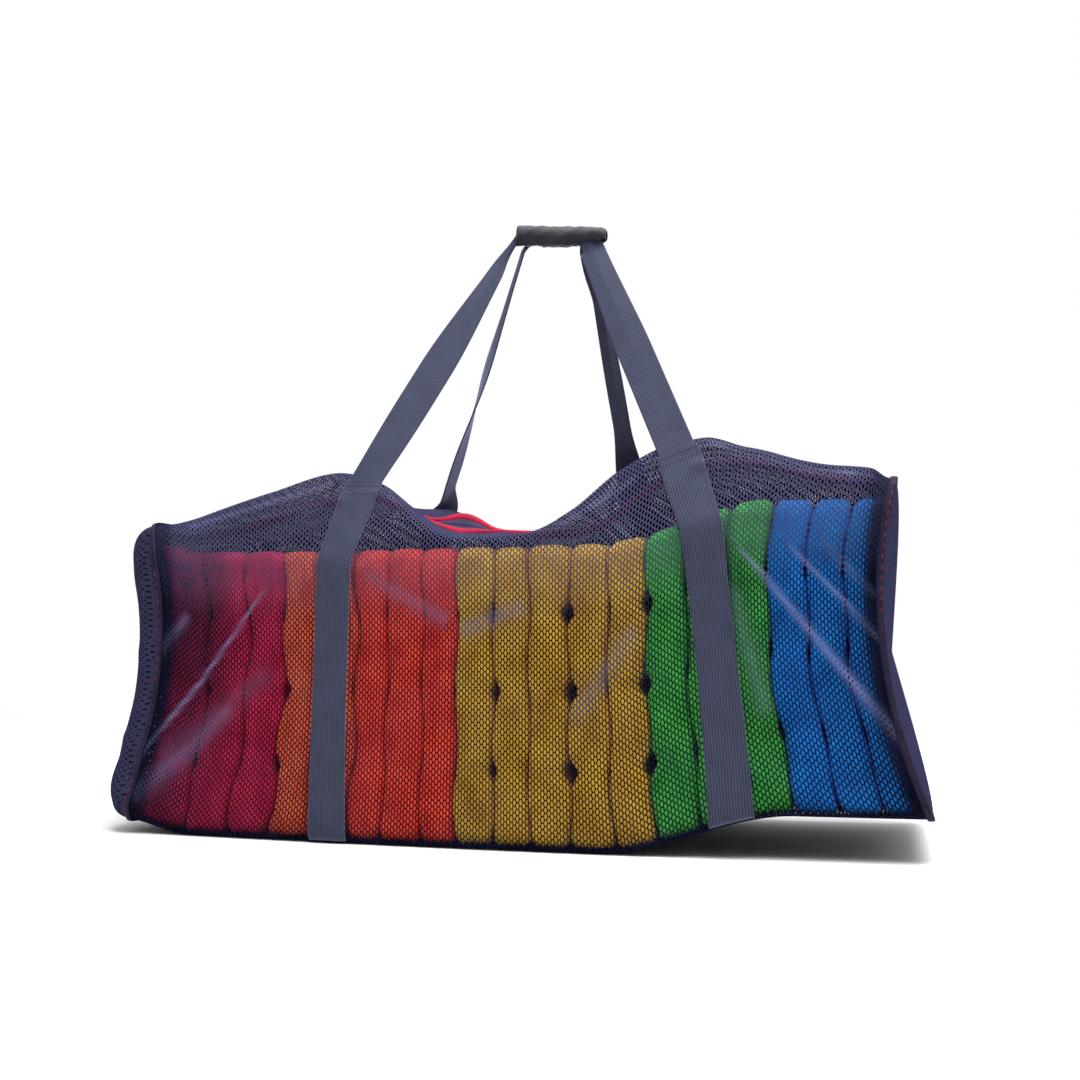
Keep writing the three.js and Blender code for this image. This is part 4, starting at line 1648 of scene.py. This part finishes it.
    def bend(self, last: Strip, entry: GripEntry, sign: int, upright: np.ndarray) -> list[Strip]:
        """The bend by which a leg from below turns to run along inside the grip.

        Args:
            last: the leg's last cross-section.
            entry: where it enters.
            sign: which way is outwards along the grip.
            upright: the way across the tape inside the grip.

        Returns:
            Its cross-sections.
        """
        start = last.inner[[0, -1]].mean(axis=0) + last.outward * last.thick / 2
        across0 = last.inner[-1] - last.inner[0]
        wide = float(np.linalg.norm(across0))
        corner, goal = (
            self.in_grip(entry.x - sign * inwards, 0.0) for inwards in (self.bend_lean, self.bend_length)
        )
        strips = []
        for t in np.arange(1, self.bend_steps + 1) / self.bend_steps:
            middle = (1 - t) ** 2 * start + 2 * t * (1 - t) * corner + t * t * goal
            way = 2 * (1 - t) * (corner - start) + 2 * t * (goal - corner)
            across = unit(unit(across0) + (upright - unit(across0)) * math.sqrt(t))
            width = wide + (self.grip_width - wide) * t
            thick = self.thick + (self.grip_thick - self.thick) * t
            strips.append(self.free_strip(middle, way, across, width, thick, self.crease * (1 - t)))
        return strips

    def build(self, webbing: bpy.types.Material, thread: bpy.types.Material) -> None:
        """Weave the handle in one length and sew it on.

        Args:
            webbing: the tape's material.
            thread: the thread's material.
        """
        halves = {}
        for end in End:
            sewn = self.sewn_run(end)
            self.sew(sewn, end, thread)
            halves[end] = sewn + self.leg(sewn[-1], end)
        back = [Strip(s.inner[::-1], s.outward, s.thick) for s in reversed(halves[End.RIGHT])]
        strips = halves[End.LEFT] + back
        furrow = np.where(np.arange(2 * self.ribs + 1) % 2 == 0, self.rib_deep, 0.0)
        furrow[[0, -1]] = self.thick * self.edge_share
        rings = []
        for strip in strips:
            low = strip.inner + furrow[:, None] * self.inner_share * strip.outward
            high = strip.inner + (strip.thick - furrow)[:, None] * strip.outward
            rings.append(in_row(np.concatenate([low, high[::-1]])))
        mesh = swept(rings)
        middles = np.array([s.inner[self.ribs] for s in strips])
        run = np.concatenate([[0.0], np.cumsum(np.linalg.norm(np.diff(middles, axis=0), axis=1))]) * MM
        across = np.concatenate([self.shares, self.shares[::-1]]) * self.width / 2 * MM
        places = np.stack(np.broadcast_arrays(across[None, :], run[:, None]), axis=-1).reshape(-1, 2)
        write_map(mesh, RUN_MAP, places)
        name = self.side.name.lower()
        piece = put(mesh, f"webbing_{name}", webbing, (f"strap_{name}",))

    def sew(self, strips: list[Strip], end: End, thread: bpy.types.Material) -> None:
        """Sew a run to the net with a row of stitches along each edge and a bar across its top.

        Args:
            strips: the run's cross-sections.
            end: which run.
            thread: the thread's material.
        """
        at, along, out = [], [], []
        for a, b in zip(strips, strips[1:]):
            for k in (self.stitch_inset, -1 - self.stitch_inset):
                at.append((a.inner[k] + b.inner[k]) / 2 + a.outward * (a.thick - self.stitch_sunk))
                along.append(unit(b.inner[k] - a.inner[k]))
                out.append(a.outward)
        for strip in (strips[-1], strips[-3]):
            for k in range(2, 2 * self.ribs - 1, 2):
                at.append(strip.inner[k] + strip.outward * (strip.thick - self.stitch_sunk))
                along.append(unit(strip.inner[k + 1] - strip.inner[k - 1]))
                out.append(strip.outward)
        middles, ways, outs = np.array(at), np.array(along), np.array(out)
        mesh = stitches(middles, ways, outs, self.stitch_long, self.stitch_thick)
        put(mesh, f"stitching_{self.side.name.lower()}_{end.name.lower()}", thread)


@dataclass
class Grip:
    """The padded flap folded down over both handles, open along its underside.

    Sizes are in millimetres. A pair called over is where along the grip a change starts and where
    it is whole, from -1 at the left end to 1 at the right end.
    """

    length: float = 136.0
    top: float = 17.0
    high_left: float = 32.0
    high_right: float = 25.5
    high_over: tuple[float, float] = (-0.3, 1.0)
    deep: float = 25.0
    wall: float = 2.0
    open_deg: float = 42.0
    closed_deg: float = 80.0
    front_shut_over: tuple[float, float] = (0.42, 0.25)
    back_shut_over: tuple[float, float] = (-0.5, -0.35)
    tuck: float = 1.2
    tuck_power: int = 8
    tip: float = 3.5
    tip_over: tuple[float, float] = (0.85, 1.0)
    pucker: float = 0.7
    pucker_waves: tuple[float, float, float] = (3.0, 5.0, 9.0)
    ripple: float = 0.5
    ripple_waves: tuple[float, float] = (23.0, 2.0)
    end_round: float = 1.5
    steps: int = 30
    arc_steps: int = 26

    def build(self, cloth: bpy.types.Material) -> bpy.types.Object:
        """Sweep the flap's section along it, with the puckers of its quilting.

        Args:
            cloth: its material.

        Returns:
            The piece.
        """
        rings = []
        for t in np.linspace(-1.0, 1.0, self.steps):
            front = float(ease(t, *self.front_shut_over))
            back = front * float(ease(t, *self.back_shut_over))
            front_edge, back_edge = (
                math.radians(self.open_deg + (self.closed_deg - self.open_deg) * share)
                for share in (front, back)
            )
            turn = np.linspace(-back_edge, math.pi + front_edge, self.arc_steps)
            tuck = self.tuck * abs(t) ** self.tuck_power + self.tip * float(ease(t, *self.tip_over))
            high = self.high_left + (self.high_right - self.high_left) * float(ease(t, *self.high_over))
            section = []
            for inset, ripple in ((tuck, self.puckers(t, turn)), (tuck + self.wall, 0.0)):
                y = (self.deep / 2 - inset + ripple) * np.cos(turn)
                z = (high / 2 - inset + ripple) * np.sin(turn) + self.top - high / 2
                section.append(np.stack([y, z], axis=1))
            y, z = np.concatenate([section[0], section[1][::-1]]).T
            x = t * self.length / 2 + self.end_round * np.sign(t) * np.sin(turn.mean() - z / high)
            x = np.clip(x, -self.length / 2, self.length / 2)
            rings.append(in_row(out_of_grip(x, y, z)))
        piece = put(swept(rings), "grip_flap", cloth, ("grip_wrap",))
        return piece

    def puckers(self, t: float, turn: np.ndarray) -> np.ndarray:
        """How far the quilting stands out.

        Args:
            t: place along the grip, from -1 to 1.
            turn: angles round it.

        Returns:
            The height at each angle.
        """
        about, along, crossing = self.pucker_waves
        broad = self.pucker * np.sin(about * turn + along * t) * np.cos(crossing * t + turn)
        return broad + self.ripple * np.cos(self.ripple_waves[0] * t + self.ripple_waves[1] * turn)


@dataclass
class Zip:
    """The zip along the top: a dark tape with its coil, between two red rolled edges."""

    form: BagForm
    width: float = 30.0
    thick: float = 1.4
    roll_wide: float = 3.6
    roll_high: float = 4.6
    tape_points: int = 9
    tape_sunk: float = 0.2
    roll_points: int = 10
    coil_inset: float = 4.0
    coil_pitch: float = 2.6
    coil_width: float = 6.0
    coil_thick: float = 2.2
    steps: int = 170

    def line(self, x: np.ndarray, y: np.ndarray | float, up: np.ndarray | float = 0.0) -> np.ndarray:
        """Points of the zip.

        Args:
            x: places along the bag.
            y: places across the zip.
            up: heights above its tape.

        Returns:
            The points in the bag's own frame.
        """
        form = self.form
        lean = form.zip_lean(x) * y / (self.width / 2)
        return form.place(x, y, form.shoulder_z + form.top_line(x, "zip") + lean + up)

    def strip(self, section: np.ndarray, y: float) -> bpy.types.Mesh:
        """Sweep a section along the zip.

        Args:
            section: its points, across and up.
            y: how far across the zip its middle lies.

        Returns:
            The mesh.
        """
        x = np.linspace(self.form.left, self.form.right, self.steps)[:, None]
        rings = self.line(x, y + section[None, :, 0], section[None, :, 1])
        return swept(list(in_row(rings)))

    def build(self, tape: bpy.types.Material, edging: bpy.types.Material, coil: bpy.types.Material) -> None:
        """Lay the tape, its coil and its two rolled edges.

        Args:
            tape: the tape's material.
            edging: the rolled edges' material.
            coil: the coil's material.
        """
        form, half = self.form, self.width / 2
        x = np.linspace(form.left, form.right, self.steps)
        length = float(np.linalg.norm(np.diff(self.line(x, 0.0), axis=0), axis=1).sum())
        across = np.linspace(-half, half, self.tape_points)
        top, low = np.full_like(across, -self.tape_sunk), np.full_like(across, -self.thick)
        flat = np.concatenate([np.stack([across, top], axis=1), np.stack([across, low], axis=1)[::-1]])
        piece = put(self.strip(flat, 0.0), "zip_tape", tape, ("zip",))
        turn = np.linspace(0.0, 2 * math.pi, self.roll_points + 1)[:-1]
        rolled = np.stack([self.roll_wide * np.cos(turn), self.roll_high * np.sin(turn)], axis=1)
        for side in Side:
            y = -side.value * (half - self.roll_wide)
            put(self.strip(rolled, y), f"zip_edge_{side.name.lower()}", edging)
        at = np.arange(form.left + self.coil_inset, form.right - self.coil_inset, self.coil_pitch)
        middles = self.line(at, 0.0)
        way = np.tile(np.array([0.0, 1.0, 0.0]), (len(at), 1))
        ahead = self.line(at + 1, 0.0) - middles
        out = np.cross(ahead / np.linalg.norm(ahead, axis=1, keepdims=True), way)
        put(stitches(middles, way, out, self.coil_width, self.coil_thick), "zip_coil", coil)


@dataclass
class Binding:
    """The tape folded over the seam of the body net and one end panel."""

    form: BagForm
    end: End
    radius: float = 4.0
    thick: float = 1.0
    flatness: float = 0.6
    lap: float = 2.2
    fold_deg: float = 125.0
    fold_points: int = 11
    seam_points: int = 240
    seed: int = 7
    stitch_step: int = 2
    stitch_lean: float = 70.0
    stitch_long: float = 9.0
    stitch_thick: float = 1.6
    shown_waves: tuple[float, float] = (0.11, 0.037)
    shown_shift: float = 5.0
    shown_from: float = 0.2

    def seam(self) -> np.ndarray:
        """The seam's closed line.

        Returns:
            Points in the bag's own frame.
        """
        form = self.form
        x = form.left if self.end is End.LEFT else form.right
        rim = form.rim(x)
        line = form.place(np.full(len(rim), x), rim[:, 0], rim[:, 1])
        line[:, 0] += self.end.value * SEAM_SHIFT
        looped = np.concatenate([line, line[:1]])
        gaps = np.linalg.norm(np.diff(looped, axis=0), axis=1)
        run = np.concatenate([[0.0], np.cumsum(gaps)])
        even = np.linspace(0.0, run[-1], self.seam_points + 1)[:-1]
        return np.stack([np.interp(even, run, looped[:, axis]) for axis in range(3)], axis=1)

    def build(self, tape: bpy.types.Material, thread: bpy.types.Material) -> None:
        """Fold the tape round the seam and sew it in red.

        Args:
            tape: the tape's material.
            thread: the thread's material.
        """
        seam = self.seam()
        along = np.roll(seam, -1, axis=0) - np.roll(seam, 1, axis=0)
        along /= np.linalg.norm(along, axis=1, keepdims=True)
        outward = np.array([self.end.value, 0.0, 0.0]) - along * along[:, :1] * self.end.value
        outward /= np.linalg.norm(outward, axis=1, keepdims=True)
        across = np.cross(along, outward)
        turn = np.radians(np.linspace(-self.fold_deg, self.fold_deg, self.fold_points))
        reach = np.where(np.cos(turn) < 0, self.lap, 1.0) * np.cos(turn)
        bent = np.stack([reach, self.flatness * np.sin(turn)], axis=1)
        arc = np.concatenate([bent * self.radius, bent[::-1] * (self.radius - self.thick)])
        rings = [in_row(p + arc[:, :1] * o + arc[:, 1:] * a) for p, o, a in zip(seam, outward, across)]
        name = self.end.name.lower()
        piece = put(swept(rings, closed=True), f"binding_{name}", tape, (f"end_binding_{name}",))
        rng = np.random.default_rng(self.seed)
        picks = np.arange(0, len(seam), self.stitch_step)
        at, way, out = [], [], []
        for lean in (math.radians(-self.stitch_lean), math.radians(self.stitch_lean)):
            waves = [np.sin(picks * wave + self.shown_shift * rng.random()) for wave in self.shown_waves]
            for k in picks[sum(waves) > self.shown_from]:
                away = math.cos(lean) * outward[k] + self.flatness * math.sin(lean) * across[k]
                at.append(seam[k] + away * self.radius)
                way.append(along[k])
                out.append(away)
        middles, ways, outs = np.array(at), np.array(way), np.array(out)
        mesh = stitches(middles, ways, outs, self.stitch_long, self.stitch_thick)
        put(mesh, f"binding_stitching_{name}", thread)


@dataclass
class Studio:
    """The floor, the light and the camera. The camera is in the bag's own frame, the rest in metres."""

    floor_half: float = 2.4
    floor_colour: str = "f6f6f6"
    floor_roughness: float = 0.9
    lamp_at: tuple[float, float, float] = (0.5, -0.5, 2.6)
    lamp_aim: tuple[float, float, float] = (0.0, 0.0, 0.35)
    lamp_size: float = 2.2
    lamp_power: float = 150.0
    camera_at: tuple[float, float, float] = (474.5228, -1835.6869, 270.4986)
    yaw: float = -0.2582191
    pitch: float = 0.0782826
    lens: float = 43.3333
    sensor: float = 36.0
    wall: float = 1.0
    room: float = 0.16
    wall_lean: float = 1.2
    wall_from: float = -0.25
    wall_to: float = 0.75

    def floor(self) -> None:
        """Lay a plain pale floor."""
        form = bmesh.new()
        bmesh.ops.create_grid(form, x_segments=2, y_segments=2, size=self.floor_half)
        mesh = bpy.data.meshes.new("floor")
        form.to_mesh(mesh)
        form.free()
        # Smooth paint, almost white and matt.
        material = bpy.data.materials.new("pale_painted_floor")
        material.use_nodes = True
        shader = material.node_tree.nodes["Principled BSDF"]
        shader.inputs["Base Color"].default_value = linear(self.floor_colour)
        shader.inputs["Roughness"].default_value = self.floor_roughness
        mesh.materials.append(material)
        floor = bpy.data.objects.new("floor", mesh)
        bpy.context.scene.collection.objects.link(floor)

    def lamp(self) -> None:
        """Hang a soft white lamp that faces the bag."""
        data = bpy.data.lights.new("overhead", "AREA")
        data.shape = "SQUARE"
        data.size = self.lamp_size
        data.energy = self.lamp_power
        lamp = bpy.data.objects.new("overhead", data)
        way = Vector(self.lamp_aim) - Vector(self.lamp_at)
        turned = way.to_track_quat("-Z", "Y").to_matrix().to_4x4()
        lamp.matrix_world = Matrix.Translation(self.lamp_at) @ turned
        bpy.context.scene.collection.objects.link(lamp)

    def camera(self) -> None:
        """Set the camera at the photograph's angle."""
        data = bpy.data.cameras.new("camera")
        data.lens = self.lens
        data.sensor_width = self.sensor
        data.sensor_fit = "AUTO"
        camera = bpy.data.objects.new("camera", data)
        level = math.cos(self.pitch)
        forward = Vector((math.sin(self.yaw) * level, math.cos(self.yaw) * level, math.sin(self.pitch)))
        right = Vector((math.cos(self.yaw), -math.sin(self.yaw), 0.0))
        turned = Matrix((right, right.cross(forward), -forward)).transposed()
        camera.matrix_world = Matrix.Translation(in_row(self.camera_at)) @ turned.to_4x4()
        bpy.context.scene.collection.objects.link(camera)
        bpy.context.scene.camera = camera

    def surround(self) -> None:
        """Surround the bag with a white wall behind it and a dim room in front."""
        world = bpy.data.worlds.new("studio")
        world.use_nodes = True
        tree = world.node_tree
        way = add_node(tree, "ShaderNodeTexCoord").outputs["Generated"]
        split = add_node(tree, "ShaderNodeSeparateXYZ", {}, {"Vector": way})
        lean = add_node(
            tree, "ShaderNodeMath", {"operation": "MULTIPLY_ADD", 1: self.wall_lean},
            {0: split.outputs["Z"], 2: split.outputs["Y"]},
        )
        spread = {
            "From Min": self.wall_from, "From Max": self.wall_to, "To Min": self.room, "To Max": self.wall
        }
        bright = add_node(tree, "ShaderNodeMapRange", spread, {"Value": lean.outputs["Value"]})
        background = tree.nodes["Background"]
        background.inputs["Color"].default_value = linear("ffffff")
        tree.links.new(bright.outputs["Result"], background.inputs["Strength"])
        bpy.context.scene.world = world

    def build(self) -> None:
        """Set up the whole studio."""
        self.floor()
        self.lamp()
        self.surround()
        bpy.context.scene.view_settings.view_transform = "Standard"
        self.camera()


def main() -> None:
    """Build the bag's pieces in order, then the studio, and note the sizes."""
    logging.basicConfig(level=logging.INFO, format="%(name)s %(message)s")
    form = BagForm()
    cloths = (
        NET_YARN, STRAP_WEBBING, GRIP_CLOTH, ZIP_TAPE, ZIP_EDGING, ZIP_COIL, BINDING_TAPE, RED_THREAD,
        SLATE_THREAD,
    )
    finishes = {cloth: cloth.make() for cloth in cloths}
    covers = {name: cloth.make() for name, cloth in COVERS.items()}
    left = form.row_start
    for number, (colour, room) in enumerate(CUSHION_ROW, start=1):
        Cushion(form, number, colour, left, float(room)).build(covers[colour])
        left += room
    net = Net(form)
    net.body(finishes[NET_YARN])
    for end in End:
        net.end(end, finishes[NET_YARN])
    Zip(form).build(finishes[ZIP_TAPE], finishes[ZIP_EDGING], finishes[ZIP_COIL])
    for end in End:
        Binding(form, end).build(finishes[BINDING_TAPE], finishes[RED_THREAD])
    for side in Side:
        Handle(form, side).build(finishes[STRAP_WEBBING], finishes[SLATE_THREAD])
    Grip().build(finishes[GRIP_CLOTH])
    Studio().build()


if __name__ == "__main__":
    main()
